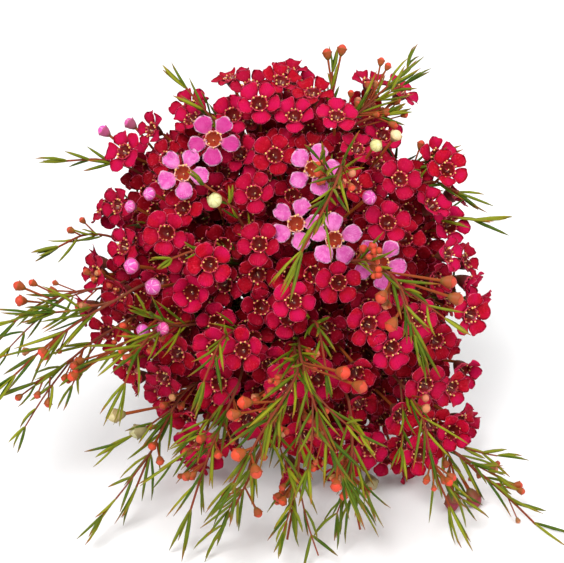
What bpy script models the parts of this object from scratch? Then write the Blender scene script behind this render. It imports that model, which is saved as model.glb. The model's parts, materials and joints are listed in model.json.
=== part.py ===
"""Waxflower stem: one cut flowering branch with a dense head, lying on a surface.

The woody stem runs along +Y on the surface and rises to the head, whose front faces -Y and a little up.
Each side branch is one solid: its twigs, pedicels, blooms, buds, leafy shoots and leaves are fused.
"""

import math
import random

import bmesh
import bpy
from mathutils import Matrix, Vector
from mathutils.bvhtree import BVHTree

MM = 0.001
SEED = 7

# The head: a dome whose front is tilted up from the surface.
HEAD_CENTRE = Vector((0.0035, -0.1056, 0.070))
HEAD_TILT = math.radians(30)
RIGHT = Vector((1, 0, 0))
UP = Vector((0, math.sin(HEAD_TILT), math.cos(HEAD_TILT)))
FRONT = Vector((0, -math.cos(HEAD_TILT), math.sin(HEAD_TILT)))
HEAD_HALF_WIDTH = 68 * MM
HEAD_HALF_HEIGHT = 70 * MM
HEAD_FRONT_DEPTH = 46 * MM
HEAD_BACK_DEPTH = 40 * MM
# How far the head's edge stands out of or behind the dome's, by degrees from the right in the photograph.
HEAD_OUTLINE = (
    (5, -3),
    (15, -4),
    (25, 0),
    (34, 5),
    (45, -7),
    (57, 6),
    (75, 2),
    (97, 4),
    (112, 0),
    (128, 4),
    (146, 6),
    (162, 0),
    (190, 5),
    (207, 0),
    (226, -7),
    (240, -2),
    (300, -1),
    (310, 12),
    (324, 17),
    (336, 0),
    (350, 5),
)

# Where the photograph shows the head, and the size of one of its pixels there.
PHOTO_HEAD = (283, 272)
PIXEL = 0.37 * MM
EYE_DISTANCE = 600 * MM

# The woody stem: distance behind the head's centre, sideways, height, radius.
STEM_POINTS = (
    (318, 5, 2.75, 2.7),
    (275, 3, 3.1, 2.6),
    (225, 0, 5.6, 2.5),
    (170, -2, 12.0, 2.4),
    (120, 0, 22.0, 2.3),
    (86, 1, 31.5, 2.2),
    (54, 0, 43.5, 2.0),
    (26, 0, 56.5, 1.7),
    (8, 0, 65.5, 1.3),
)
BRANCHING_FROM = 0.77
CUT_SLANT = math.radians(50)

# Side branches leave the stem all round it, and fork into twigs that reach the dome.
BRANCH_COUNT = 10
BRANCH_WIDEST = math.radians(100)
BRANCH_RADII = (1.6 * MM, 0.75 * MM)
TWIG_COUNT = 32
TWIG_WIDEST = math.radians(112)
TWIG_INSET = 15 * MM
TWIG_LUMP = 3.5 * MM
TWIG_RADII = (1.05 * MM, 0.72 * MM)
TWIG_LOWEST = 9 * MM

BLOOM_RADIUS = 8.1 * MM
PALE_BLOOM_RADIUS = 9.4 * MM
CUP_RIM = 2.95 * MM
CUP_FOOT = 0.75 * MM
CUP_DEPTH = 4.6 * MM
CUP_RECESS = 2.2 * MM
PETAL_THICKNESS = 0.8 * MM
PETAL_HALF_WIDTHS = (0.38, 0.21)
PEDICEL_RADIUS = 0.48 * MM
SIMPLE_FROM = math.radians(58)
# How deep inside the dome each layer of blooms is, how far round it they go, and how many it has.
BLOOM_LAYERS = ((-1.0, 2.0, 99, 45), (4.0, 9.0, 82, 26), (9.0, 14.0, 75, 14), (14.0, 20.0, 70, 5))

SHOOT_RADII = (0.75 * MM, 0.5 * MM)
LEAF_HALF_WIDTH = 0.74 * MM
LEAF_SPACING = 9.4 * MM
CLEARANCE = 0.42 * MM
SUNK = 0.1 * MM
PETAL_PRESSED = 0.4 * MM
BUD_PRESSED = 0.55 * MM
LOWEST = 0.9 * MM

# Six paler blooms, placed by pixel of the photograph, with how far they stand out of the dome.
PALE_BLOOMS = (
    (215, 143, 2.0),
    (184, 175, 1.0),
    (312, 173, 2.5),
    (296, 224, -1.0),
    (333, 241, 1.5),
    (377, 264, 3.0),
)
# Crimson blooms that stand out at the front of the head.
FRONT_BLOOMS = (
    (293, 301, 3.0),
    (337, 283, 2.0),
    (211, 265, 2.0),
    (337, 117, 0.0),
    (259, 245, 0.0),
    (366, 324, 2.0),
    (386, 224, 1.0),
    (239, 343, 0.5),
    (303, 434, 1.0),
    (168, 234, 1.0),
    (259, 104, 0.0),
    (295, 112, -1.0),
    (254, 194, 0.5),
    (275, 157, 1.5),
    (398, 181, 1.0),
    (285, 346, 0.5),
    (390, 348, 0.5),
    (150, 284, 0.0),
    (232, 78, 0.0),
    (288, 72, 0.0),
    (120, 148, 0.0),
    (470, 315, 0.0),
    (451, 388, 0.0),
    (420, 386, 1.0),
    (462, 424, 0.0),
    (430, 424, 0.0),
    (405, 408, 1.0),
    (402, 92, 0.0),
)
# Blooms whose lower petals touch the surface, and buds that are pressed a little flat on it.
FOOT_BLOOMS = ((196, 440), (292, 466), (405, 455), (340, 462))
FOOT_BUDS = ((246, 466), (372, 468))
FOOT_BUD_RADIUS = 2.6 * MM

# Round buds: pixel, how far they stand out, radius, colour.
ROUND_BUDS = (
    (144, 267, 7.0, 2.7, "pink"),
    (165, 286, 8.0, 2.7, "pink"),
    (153, 327, 6.0, 2.2, "pink"),
    (171, 325, 6.0, 2.2, "pink"),
    (156, 198, 4.0, 2.2, "pink"),
    (138, 210, 4.0, 2.1, "pink"),
    (226, 203, 6.0, 2.4, "cream"),
    (362, 204, 7.0, 2.4, "pink"),
    (369, 155, 6.0, 2.1, "cream"),
    (387, 146, 6.0, 2.1, "cream"),
    (135, 128, 3.0, 2.2, "pink"),
    (109, 135, 3.0, 2.2, "pink"),
)

# Leafy shoots: route by pixel and distance in front of the head's centre, share of the route
# that bears leaves, leaf length, and the buds at their tips with radius and colour.
SHOOTS = (
    ("left_long", ((150, 283, 24), (108, 305, 32), (60, 335, 35), (14, 376, 31)), 0.25, 20, ()),
    (
        "left_upper",
        ((118, 285, 12), (76, 292, 15), (42, 303, 16), (14, 322, 16)),
        0.5,
        16,
        ((18, 286, 17, 1.9, "orange"), (32, 283, 17, 1.4, "orange"), (20, 301, 22, 2.0, "orange")),
    ),
    (
        "left_lower",
        ((132, 318, 18), (88, 345, 24), (58, 370, 26), (34, 384, 25)),
        0.4,
        15,
        ((37, 396, 28, 1.3, "orange"), (48, 404, 25, 1.5, "orange"), (18, 398, 24, 1.3, "orange")),
    ),
    ("left_front", ((160, 330, 38), (143, 343, 46), (132, 366, 52), (124, 386, 52)), 0.2, 19, ()),
    (
        "left_low_buds",
        ((150, 335, 20), (118, 345, 26), (95, 360, 27)),
        0.3,
        13,
        ((78, 362, 27, 1.7, "orange"), (72, 377, 31, 1.8, "orange")),
    ),
    ("far_left", ((125, 165, 6), (92, 159, 7), (66, 161, 7)), 0.4, 12, ()),
    (
        "left_tuft",
        ((100, 232, 3), (78, 238, 3), (58, 247, 3)),
        0.4,
        12,
        ((82, 220, 3, 1.2, "orange"), (70, 230, 3, 1.4, "orange")),
    ),
    ("upper_left", ((206, 112, 22), (198, 102, 25), (186, 88, 25)), 0.2, 13, ()),
    (
        "top_buds",
        ((333, 106, 9), (331, 84, 9), (332, 72, 9)),
        0.3,
        10,
        ((327, 53, 9, 1.8, "orange"), (342, 49, 9, 1.8, "orange")),
    ),
    (
        "top_right",
        ((350, 120, 14), (368, 104, 15), (388, 86, 13)),
        0.3,
        16,
        ((381, 61, 13, 1.4, "orange"), (388, 66, 17, 1.3, "orange")),
    ),
    (
        "right_buds",
        ((362, 121, 13), (378, 117, 13), (386, 115, 13)),
        0.9,
        10,
        ((397, 101, 13, 1.5, "orange"), (394, 125, 13, 1.6, "orange"), (405, 115, 13, 1.2, "orange")),
    ),
    ("right_upper", ((412, 166, 9), (430, 160, 9), (438, 158, 9)), 0.4, 11, ((421, 144, 9, 1.5, "orange"),)),
    ("right_mid", ((422, 180, 11), (442, 186, 11), (458, 193, 11)), 0.3, 14, ()),
    ("right_tuft", ((448, 217, 11), (462, 219, 11), (474, 220, 11)), 0.3, 14, ()),
    ("front_top", ((345, 160, 46), (331, 195, 56), (314, 230, 61), (300, 256, 60)), 0.15, 17, ()),
    (
        "front_right",
        ((376, 262, 50), (397, 282, 56), (406, 312, 59), (416, 340, 57)),
        0.35,
        16,
        (
            (450, 283, 50, 2.3, "orange"),
            (457, 300, 50, 2.3, "orange"),
            (381, 299, 58, 2.1, "orange"),
            (391, 327, 58, 2.2, "orange"),
        ),
    ),
    ("right_long", ((440, 440, 14), (470, 465, 16), (502, 492, 16), (536, 525, 15)), 0.35, 17, ()),
    ("right_low", ((418, 405, 32), (424, 440, 37), (434, 470, 37), (450, 508, 34)), 0.2, 18, ()),
    (
        "right_low_buds",
        ((448, 450, 10), (453, 468, 10), (455, 478, 10)),
        0.7,
        9,
        ((452, 503, 10, 2.9, "brown"), (474, 499, 10, 2.9, "brown")),
    ),
    ("low_middle", ((352, 400, 34), (350, 450, 40), (352, 495, 40), (360, 530, 37)), 0.3, 19, ()),
    (
        "near_middle",
        ((303, 368, 60), (316, 410, 68), (330, 450, 70), (344, 480, 69)),
        0.1,
        18,
        ((344, 374, 66, 2.3, "orange"), (361, 388, 66, 2.2, "orange"), (336, 488, 75, 1.9, "orange")),
    ),
    (
        "near_left",
        ((296, 378, 60), (272, 418, 66), (250, 450, 66), (232, 486, 62)),
        0.1,
        19,
        (
            (243, 404, 67, 2.2, "orange"),
            (232, 416, 67, 2.0, "orange"),
            (237, 456, 68, 2.3, "orange"),
            (256, 474, 67, 2.1, "orange"),
        ),
    ),
    (
        "low_left",
        ((236, 392, 36), (218, 430, 42), (204, 468, 42), (190, 512, 38)),
        0.3,
        19,
        ((186, 453, 42, 1.6, "orange"), (200, 440, 44, 1.6, "orange"), (218, 456, 46, 1.5, "orange")),
    ),
    (
        "far_low_left",
        ((180, 395, 22), (167, 420, 26), (152, 450, 26), (136, 488, 24)),
        0.3,
        17,
        (
            (115, 416, 24, 2.6, "green"),
            (137, 432, 25, 2.7, "green"),
            (152, 447, 32, 1.5, "orange"),
            (160, 462, 30, 1.5, "orange"),
        ),
    ),
    ("low_centre", ((300, 420, 36), (298, 470, 40), (292, 512, 38), (287, 540, 36)), 0.3, 17, ()),
    (
        "low_centre_left",
        ((270, 420, 40), (258, 460, 44), (238, 500, 42), (222, 528, 38)),
        0.3,
        17,
        ((258, 514, 42, 1.6, "orange"),),
    ),
    ("middle_left", ((222, 340, 50), (212, 362, 55), (203, 384, 55)), 0.15, 14, ()),
    ("little_left", ((190, 250, 46), (178, 256, 50), (170, 260, 50)), 0.1, 8, ()),
    ("little_upper", ((222, 196, 48), (210, 188, 52), (202, 184, 52)), 0.1, 8, ()),
    ("middle", ((318, 328, 54), (323, 352, 58), (326, 372, 58)), 0.15, 10, ()),
)


def head_point(right, up, front):
    return HEAD_CENTRE + RIGHT * right + UP * up + FRONT * front


def seen_at(pixel_x, pixel_y, front_mm, lowest=LOWEST):
    """The point seen at a pixel this far in front of the head's centre, or nearer above the surface."""
    front = front_mm * MM
    up = (PHOTO_HEAD[1] - pixel_y) * PIXEL
    rise = UP.z * up
    needed = (lowest - HEAD_CENTRE.z - rise) / (FRONT.z - rise / EYE_DISTANCE)
    front = max(front, needed)
    scale = 1 - front / EYE_DISTANCE
    return head_point((pixel_x - PHOTO_HEAD[0]) * PIXEL * scale, up * scale, front)


def swell(polar, azimuth):
    """How far the head stands out of a plain dome in this direction, most of all at its edge."""
    angle = math.degrees(azimuth) % 360
    angle += 360 if angle < HEAD_OUTLINE[0][0] else 0
    last = (HEAD_OUTLINE[0][0] + 360, HEAD_OUTLINE[0][1])
    for (start, low), (end, high) in zip(HEAD_OUTLINE, (*HEAD_OUTLINE[1:], last)):
        if angle <= end:
            break
    return (low + (high - low) * (angle - start) / (end - start)) * MM * math.sin(polar) ** 3


def dome(polar, azimuth, inset=0.0):
    """A point on the head's dome and its outward normal."""
    across, over = math.sin(polar) * math.cos(azimuth), math.sin(polar) * math.sin(azimuth)
    out = math.cos(polar)
    depth = HEAD_FRONT_DEPTH if out > 0 else HEAD_BACK_DEPTH
    inward = inset - swell(polar, azimuth)
    point = head_point(
        (HEAD_HALF_WIDTH - inward) * across, (HEAD_HALF_HEIGHT - inward) * over, (depth - inset) * out
    )
    normal = RIGHT * (across / HEAD_HALF_WIDTH) + UP * (over / HEAD_HALF_HEIGHT) + FRONT * (out / depth)
    return point, normal.normalized()


def dome_angles(point):
    """The polar angle and azimuth on the dome of the ray from the head's centre to a point."""
    offset = point - HEAD_CENTRE
    out = offset.dot(FRONT)
    depth = HEAD_FRONT_DEPTH if out > 0 else HEAD_BACK_DEPTH
    scaled = Vector(
        (offset.dot(RIGHT) / HEAD_HALF_WIDTH, offset.dot(UP) / HEAD_HALF_HEIGHT, out / depth)
    ).normalized()
    return math.acos(max(-1.0, min(1.0, scaled.z))), math.atan2(scaled.y, scaled.x)


def ray(polar, azimuth):
    return Vector(
        (math.sin(polar) * math.cos(azimuth), math.sin(polar) * math.sin(azimuth), math.cos(polar))
    )


def even_directions(count, widest, start):
    """Directions spread evenly over a cap by the golden angle, as polar angles and azimuths."""
    golden = math.pi * (3 - math.sqrt(5))
    span = 1 - math.cos(widest)
    return [(math.acos(1 - span * (i + 0.5) / count), i * golden + start) for i in range(count)]


def route_length(points):
    return sum((b - a).length for a, b in zip(points, points[1:]))


def along(points, share):
    """The point at this share of a route's length."""
    left = share * route_length(points)
    for start, end in zip(points, points[1:]):
        length = (end - start).length
        if left <= length:
            return start.lerp(end, left / length)
        left -= length
    return points[-1].copy()


def smooth_route(points, count):
    """Points evenly spread on a Catmull-Rom curve through a route's own points."""
    ends = [points[0] * 2 - points[1], *points, points[-1] * 2 - points[-2]]
    fine = []
    steps = 12
    for a, b, c, d in zip(ends, ends[1:], ends[2:], ends[3:]):
        for step in range(steps):
            t = step / steps
            fine.append(
                b + 0.5 * t * ((c - a) + t * (2 * a - 5 * b + 4 * c - d + t * (3 * b - a - 3 * c + d)))
            )
    fine.append(points[-1].copy())
    return [along(fine, i / (count - 1)) for i in range(count)]


def frame_to(direction, roll=0.0):
    """A rotation that takes +Z to this direction."""
    return direction.to_track_quat("Z", "Y").to_matrix() @ Matrix.Rotation(roll, 3, "Z")


def grown_by(radii, margin):
    return tuple(radius + margin for radius in radii)


class Shape:
    """A bloom, bud or leaf to be repeated: its points, faces, root ring and the depth of its foot."""

    def __init__(self, bm, foot_depth=0.0):
        bmesh.ops.remove_doubles(bm, verts=bm.verts[:], dist=1e-6)
        bmesh.ops.recalc_face_normals(bm, faces=bm.faces[:])
        bm.normal_update()
        bm.verts.index_update()
        self.points = [v.co.copy() for v in bm.verts]
        self.normals = [v.normal.copy() for v in bm.verts]
        self.faces = [[v.index for v in f.verts] for f in bm.faces]
        lowest = min(p.z for p in self.points)
        self.ring = [i for i, p in enumerate(self.points) if p.z < lowest + 1e-6]
        self.head_faces = [f for f in self.faces if not any(i in self.ring for i in f)]
        self.foot_depth = foot_depth
        bm.free()

    def placed(self, place, turn, root=None, grow=0.0):
        """The points in place, the root ring moved to a twig, and the surface grown by a margin."""
        verts = [place + turn @ (p + n * grow) for p, n in zip(self.points, self.normals)]
        if root is not None:
            middle = sum((self.points[i] for i in self.ring), Vector()) / len(self.ring)
            for i in self.ring:
                spoke = self.points[i] - middle
                verts[i] = root + turn @ (spoke + spoke.normalized() * grow)
        return verts


def bloom_shape(radius, lift, blades, footed=True):
    """A cup with five petals and a pedicel: a cone, its rim drawn out into petals, its top poked in.

    The blades are the steps of a petal: share of its reach, half width as a share of the radius.
    Each petal has a keel below its middle and a thin outer edge. Without a foot, the cup narrows
    all the way to the twig.
    """
    bm = bmesh.new()
    foot = -PETAL_THICKNESS - CUP_DEPTH
    bmesh.ops.create_cone(
        bm,
        cap_ends=True,
        segments=5,
        radius1=CUP_FOOT,
        radius2=CUP_RIM,
        depth=CUP_DEPTH,
        matrix=Matrix.Translation((0, 0, foot + CUP_DEPTH / 2)),
    )
    top = max(bm.faces, key=lambda f: f.calc_center_median().z)
    bottom = min(bm.faces, key=lambda f: f.calc_center_median().z)
    top = bmesh.ops.extrude_discrete_faces(bm, faces=[top])["faces"][0]
    for vertex in top.verts:
        vertex.co.z += PETAL_THICKNESS
    root = bmesh.ops.extrude_discrete_faces(bm, faces=[bottom])["faces"][0] if footed else bottom
    for vertex in root.verts:
        vertex.co *= PEDICEL_RADIUS / CUP_FOOT
        vertex.co.z = foot - 6 * MM
    band = [f for f in bm.faces if abs(f.calc_center_median().z + PETAL_THICKNESS / 2) < 1e-5]
    reach = radius - CUP_RIM * math.cos(math.pi / 5)
    for face in band:
        middle = face.calc_center_median()
        out = Vector((middle.x, middle.y, 0)).normalized()
        side = Vector((-out.y, out.x, 0))
        start = out * middle.xy.length
        for share, half_width in blades:
            angle = lift * (1.5 - 0.7 * share)
            thick = 0 if share == 1 else PETAL_THICKNESS * 1.25
            face = bmesh.ops.extrude_discrete_faces(bm, faces=[face])["faces"][0]
            run, rise = math.cos(angle) * reach * share, math.sin(angle) * reach * share
            centre_z = face.calc_center_median().z
            for vertex in face.verts:
                upper = vertex.co.z > centre_z
                sign = 1 if vertex.co.dot(side) > 0 else -1
                half = 0 if thick and not upper else half_width * radius
                vertex.co = start + out * run + side * (sign * half)
                vertex.co.z = rise - (0 if upper else thick)
    bmesh.ops.poke(bm, faces=[top])
    pit = min((v for v in bm.verts if v.co.xy.length < 1e-6), key=lambda v: abs(v.co.z))
    pit.co.z = -CUP_RECESS
    if footed:
        return Shape(bm, CUP_DEPTH + PETAL_THICKNESS)
    return Shape(bm, PETAL_THICKNESS)


def bud_shape(radius):
    """A bud on its pedicel: a cone that swells to the bud, with a domed top."""
    bm = bmesh.new()
    bmesh.ops.create_cone(
        bm,
        cap_ends=True,
        segments=5 if radius > 2 * MM else 4,
        radius1=0.3 * radius,
        radius2=radius,
        depth=1.5 * radius,
        matrix=Matrix.Translation((0, 0, -0.75 * radius)),
    )
    top = max(bm.faces, key=lambda f: f.calc_center_median().z)
    bottom = min(bm.faces, key=lambda f: f.calc_center_median().z)
    root = bmesh.ops.extrude_discrete_faces(bm, faces=[bottom])["faces"][0]
    for vertex in root.verts:
        vertex.co *= 0.42 * MM / (0.3 * radius)
        vertex.co.z = -1.5 * radius - 5 * MM
    bmesh.ops.poke(bm, faces=[top], offset=0.85 * radius)
    return Shape(bm, 1.5 * radius)


def leaf_shape():
    """A three-sided needle of unit length, widest before the middle."""
    bm = bmesh.new()
    bmesh.ops.create_uvsphere(bm, u_segments=3, v_segments=2, radius=1)
    for vertex in bm.verts:
        vertex.co.z = 0.42 if abs(vertex.co.z) < 0.5 else (vertex.co.z + 1) / 2
    return Shape(bm)


def prism(points, radii, sides=4):
    """A thin tube's surface, only for testing what it would touch."""
    verts, faces = [], []
    for i, point in enumerate(points):
        before, after = points[max(i - 1, 0)], points[min(i + 1, len(points) - 1)]
        turn = frame_to((after - before).normalized())
        radius = radii[0] + (radii[1] - radii[0]) * i / (len(points) - 1)
        for k in range(sides):
            angle = 2 * math.pi * k / sides
            verts.append(point + turn @ Vector((math.cos(angle), math.sin(angle), 0)) * radius)
    for i in range(len(points) - 1):
        for k in range(sides):
            a, b = i * sides + k, i * sides + (k + 1) % sides
            faces.append([a, b, b + sides, a + sides])
    faces.append(list(range(sides))[::-1])
    faces.append([len(verts) - sides + k for k in range(sides)])
    return verts, faces


class Crowd:
    """What is placed so far, so that a new piece can be tested against it."""

    def __init__(self):
        self.items = []

    def touches(self, verts, faces, skip=()):
        tree = BVHTree.FromPolygons(verts, faces)
        centre = sum(verts, Vector()) / len(verts)
        reach = max((v - centre).length for v in verts)
        for other_tree, other_centre, other_reach, key in self.items:
            if key in skip or (other_centre - centre).length > reach + other_reach:
                continue
            if tree.overlap(other_tree):
                return True
        return False

    def hides(self, point, direction):
        """Whether a bloom or bud stands in front of a point."""
        flowers = [tree for tree, _, _, key in self.items if key[1] == "flower"]
        return any(tree.ray_cast(point, direction)[0] for tree in flowers)

    def add(self, verts, faces, key):
        centre = sum(verts, Vector()) / len(verts)
        reach = max((v - centre).length for v in verts)
        self.items.append((BVHTree.FromPolygons(verts, faces), centre, reach, key))


class Plant:
    """The plan of the whole stem: routes of its twigs, and places of its blooms, buds and leaves."""

    def __init__(self):
        self.chance = random.Random(SEED)
        self.crowd = Crowd()
        full = ((0.52, PETAL_HALF_WIDTHS[0]), (1.0, PETAL_HALF_WIDTHS[1]))
        short = ((1.0, 0.33),)
        self.blooms = {
            "open": bloom_shape(BLOOM_RADIUS, math.radians(14), full),
            "cupped": bloom_shape(BLOOM_RADIUS * 0.97, math.radians(32), full),
            "pale": bloom_shape(PALE_BLOOM_RADIUS, math.radians(8), full),
            "deep": bloom_shape(BLOOM_RADIUS * 0.93, math.radians(22), short, False),
        }
        self.leaf = leaf_shape()
        foot = Vector((HEAD_CENTRE.x, HEAD_CENTRE.y, 0))
        self.stem = smooth_route([foot + Vector((x, y, z)) * MM for y, x, z, _ in STEM_POINTS], 15)
        self.crowd.add(*prism(self.stem, (2.7 * MM, 1.3 * MM), 8), ("main_stem", "twig"))
        self.branches = []
        self.twigs = []
        self.plan_branches()
        self.plan_feet()
        self.plan_blooms_at("pale", PALE_BLOOMS, 0.9)
        self.plan_shoots()
        self.plan_round_buds()
        self.plan_blooms_at("open", FRONT_BLOOMS, 0.5)
        self.plan_blooms()
        self.plan_leaves()

    def stem_radius(self, share):
        radii = [r * MM for _, _, _, r in STEM_POINTS]
        place = share * (len(radii) - 1)
        i = min(int(place), len(radii) - 2)
        return radii[i] + (radii[i + 1] - radii[i]) * (place - i)

    def plan_branches(self):
        twigs = [(p, a) for p, a in even_directions(TWIG_COUNT, TWIG_WIDEST, 0.6)]
        twigs = [(p, a) for p, a in twigs if dome(p, a, TWIG_INSET)[0].z > TWIG_LOWEST]
        heads = [(0.0, 0.0), *even_directions(BRANCH_COUNT, BRANCH_WIDEST, 2.2)[1:]]
        groups = [[] for _ in heads]
        for twig in twigs:
            nearest = max(range(len(heads)), key=lambda j: ray(*heads[j]).dot(ray(*twig)))
            groups[nearest].append(twig)
        for head, group in zip(heads, groups):
            if group:
                group.sort(key=lambda twig: -ray(*head).dot(ray(*twig)))
                self.plan_branch(head, group)

    def branch_start(self, polar, toward):
        """Where a branch leaves the stem, the stem's heading there, and the cut that parts the two."""
        share = 1 - (1 - BRANCHING_FROM) * (polar / BRANCH_WIDEST) ** 0.8
        place = along(self.stem, share)
        leader = (along(self.stem, min(1, share + 0.03)) - along(self.stem, share - 0.03)).normalized()
        if polar == 0:
            return place, leader, (place + leader * (0.35 * MM), -leader)
        heading = (toward - place).normalized()
        out = (heading - leader * heading.dot(leader)).normalized()
        return place, leader, (place + out * (self.stem_radius(share) + 0.4 * MM), -out)

    def plan_branch(self, head, group):
        name = f"branch_{len(self.branches) + 1:02d}"
        fork = HEAD_CENTRE + (dome(*head)[0] - HEAD_CENTRE) * 0.42 - FRONT * (12 * MM)
        if head[0] == 0:
            fork = HEAD_CENTRE + FRONT * (12 * MM)
        start, leader, cut = self.branch_start(head[0], fork)
        branch = {"name": name, "tubes": [], "pieces": [], "cut": cut}
        self.branches.append(branch)
        first = None
        for number, (polar, azimuth) in enumerate(group):
            tip, _ = dome(polar, azimuth, TWIG_INSET)
            if first is None:
                bend = start.lerp(fork, 0.5) + leader * (2.5 * MM)
                points, radii = smooth_route([start, bend, fork, tip], 6), BRANCH_RADII
                first = points
            else:
                points, radii = self.side_twig(name, first, tip, number), TWIG_RADII
            branch["tubes"].append((points, radii, 0))
            self.crowd.add(*prism(points, radii), (name, "twig"))
            lump = self.chance.uniform(-1, 1) * TWIG_LUMP
            twig = {"branch": branch, "direction": ray(polar, azimuth), "lump": lump}
            self.twigs.append({**twig, "route": points, "shoots": []})

    def side_twig(self, name, first, tip, number):
        """A twig's route from its branch to the dome, from the first place where it is clear."""
        for share in (0.52 - 0.09 * number, 0.62 - 0.09 * number, 0.4 - 0.05 * number, 0.25):
            root = along(first, share)
            heading = (along(first, share + 0.05) - along(first, share - 0.05)).normalized()
            points = smooth_route([root, root.lerp(tip, 0.4) + heading * (4 * MM), tip], 4)
            tested = prism(points, grown_by(TWIG_RADII, CLEARANCE))
            if not self.crowd.touches(*tested, skip={(name, "twig")}):
                return points
        print(name, "twig", number, "crosses another branch")
        return points

    def nearest_twigs(self, polar, azimuth):
        """The twigs that point nearest to this way, the nearest first."""
        return sorted(self.twigs, key=lambda twig: -twig["direction"].dot(ray(polar, azimuth)))[:2]

    def root_on(self, route, foot, reach=1.1, least=0.3):
        """Where on a twig's route a pedicel to this point starts, so that it leaves forward."""
        best = min((i / 40 for i in range(41)), key=lambda t: (along(route, t) - foot).length)
        gap = (along(route, best) - foot).length
        return along(route, max(least, min(0.97, best - reach * gap / route_length(route))))

    def try_flower(self, shape, place, axis, roll, twig, kind, pressed=False):
        """Places a bloom or bud on its twig unless it, or its pedicel, would touch another piece."""
        name = twig["branch"]["name"]
        turn = frame_to(axis, roll)
        foot = place - axis * shape.foot_depth
        root = self.root_on(twig["route"], foot)
        heading = (foot - root).normalized()
        if (root - foot).length < 2.5 * MM or heading.angle(axis) > math.radians(80):
            return False
        tested = shape.placed(place, turn, root, CLEARANCE)
        if not pressed and min(v.z for v in tested) < -0.3 * MM:
            return False
        if self.crowd.touches(tested, shape.head_faces):
            return False
        tested = shape.placed(place, turn, root + heading * (1.8 * MM), CLEARANCE)
        if self.crowd.touches(tested, shape.faces, skip={(name, "twig"), (name, "pedicel")}):
            return False
        verts = shape.placed(place, turn, root - heading * SUNK)
        piece = {"kind": kind, "verts": verts, "faces": shape.faces, "place": place, "axis": axis}
        twig["branch"]["pieces"].append({**piece, "roll": roll, "root": root})
        self.crowd.add(verts, shape.head_faces, (name, "flower"))
        self.crowd.add(shape.placed(place, turn, root + heading * (0.8 * MM)), shape.faces, (name, "pedicel"))
        return True

    def try_bloom(self, kind, place, axis, angles):
        """Places a bloom on one of the two nearest twigs, at one of a few turns."""
        for twig in self.nearest_twigs(*angles):
            for turn in range(3):
                roll = self.chance.uniform(0, 0.4) + turn * 0.42
                if self.try_flower(self.blooms[kind], place, axis, roll, twig, "bloom_" + kind):
                    return True
        return False

    def facing(self, normal, spread=0.22, forward=0.4):
        wander = Vector([self.chance.uniform(-1, 1) for _ in range(3)]) * spread
        return (normal * 0.75 + FRONT * forward + wander).normalized()

    def on_dome_at(self, pixel_x, pixel_y, stand_out):
        """The dome's point seen at a pixel, moved out along its normal, with that normal and its angles."""
        low, high = -6.0, 60.0
        for _ in range(30):
            middle = (low + high) / 2
            point = seen_at(pixel_x, pixel_y, middle, -1)
            surface, _ = dome(*dome_angles(point))
            if (point - HEAD_CENTRE).length > (surface - HEAD_CENTRE).length:
                high = middle
            else:
                low = middle
        point = seen_at(pixel_x, pixel_y, low, -1)
        angles = dome_angles(point)
        _, normal = dome(*angles)
        return point + normal * stand_out, normal, angles

    def plan_feet(self):
        """The blooms and buds that carry the head."""
        feet = [(x, y, self.blooms["cupped"], PETAL_PRESSED, "bloom_cupped") for x, y in FOOT_BLOOMS]
        feet += [(x, y, bud_shape(FOOT_BUD_RADIUS), BUD_PRESSED, "bud_green") for x, y in FOOT_BUDS]
        for pixel_x, pixel_y, shape, pressed, kind in feet:
            place = seen_at(pixel_x, pixel_y, 0, 8.5 * MM)
            angles = dome_angles(place)
            axis = (dome(*angles)[1] + FRONT * 0.5).normalized()
            verts = shape.placed(place, frame_to(axis, 0.3))
            lowest = min(v.z for i, v in enumerate(verts) if i not in shape.ring)
            place = place - Vector((0, 0, lowest + pressed))
            for twig in self.nearest_twigs(*angles):
                if self.try_flower(shape, place, axis, 0.3, twig, kind, True):
                    break
            else:
                print("foot left out", pixel_x)

    def plan_blooms_at(self, kind, blooms, forward):
        """Blooms at places seen in the photograph, or as near as there is room."""
        for pixel_x, pixel_y, stand_out in blooms:
            for attempt in range(36):
                aside = 0.35 * attempt
                x, y = pixel_x + aside * math.cos(attempt * 2.4), pixel_y + aside * math.sin(attempt * 2.4)
                place, normal, angles = self.on_dome_at(x, y, (stand_out - attempt % 4 * 0.8) * MM)
                if self.try_bloom(kind, place, self.facing(normal, 0.12, forward), angles):
                    break
            else:
                print(kind, "bloom left out", pixel_x, pixel_y)

    def plan_round_buds(self):
        for pixel_x, pixel_y, stand_out, radius, colour in ROUND_BUDS:
            shape = bud_shape(radius * MM)
            for attempt in range(36):
                x = pixel_x + self.chance.uniform(-0.2, 0.2) * attempt
                y = pixel_y + self.chance.uniform(-0.2, 0.2) * attempt
                place, normal, angles = self.on_dome_at(x, y, (stand_out + attempt // 6 * 0.6) * MM)
                twig = self.nearest_twigs(*angles)[attempt % 2]
                axis = self.facing(normal, 0.2, 0.3)
                if self.try_flower(shape, place, axis, 0, twig, "bud_" + colour):
                    break
            else:
                print("round bud left out", pixel_x, pixel_y)

    def plan_blooms(self):
        """Fills the dome, then the gaps that show between its blooms, one layer behind another."""
        for layer, (shallow, deep, widest, wanted) in enumerate(BLOOM_LAYERS):
            placed = 0
            for _ in range(3000):
                polar = math.acos(self.chance.uniform(math.cos(math.radians(widest)), 1))
                azimuth = self.chance.uniform(-math.pi, math.pi)
                lump = self.nearest_twigs(polar, azimuth)[0]["lump"]
                place, normal = dome(polar, azimuth, self.chance.uniform(shallow, deep) * MM - lump)
                if layer and not self.shows(place, normal):
                    continue
                kind = "cupped" if self.chance.random() < 0.3 else "open"
                if layer or polar > SIMPLE_FROM:
                    kind = "deep"
                placed += self.try_bloom(kind, place, self.facing(normal), (polar, azimuth))
                if placed == wanted:
                    break
            print("layer", layer, "blooms", placed)

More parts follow.
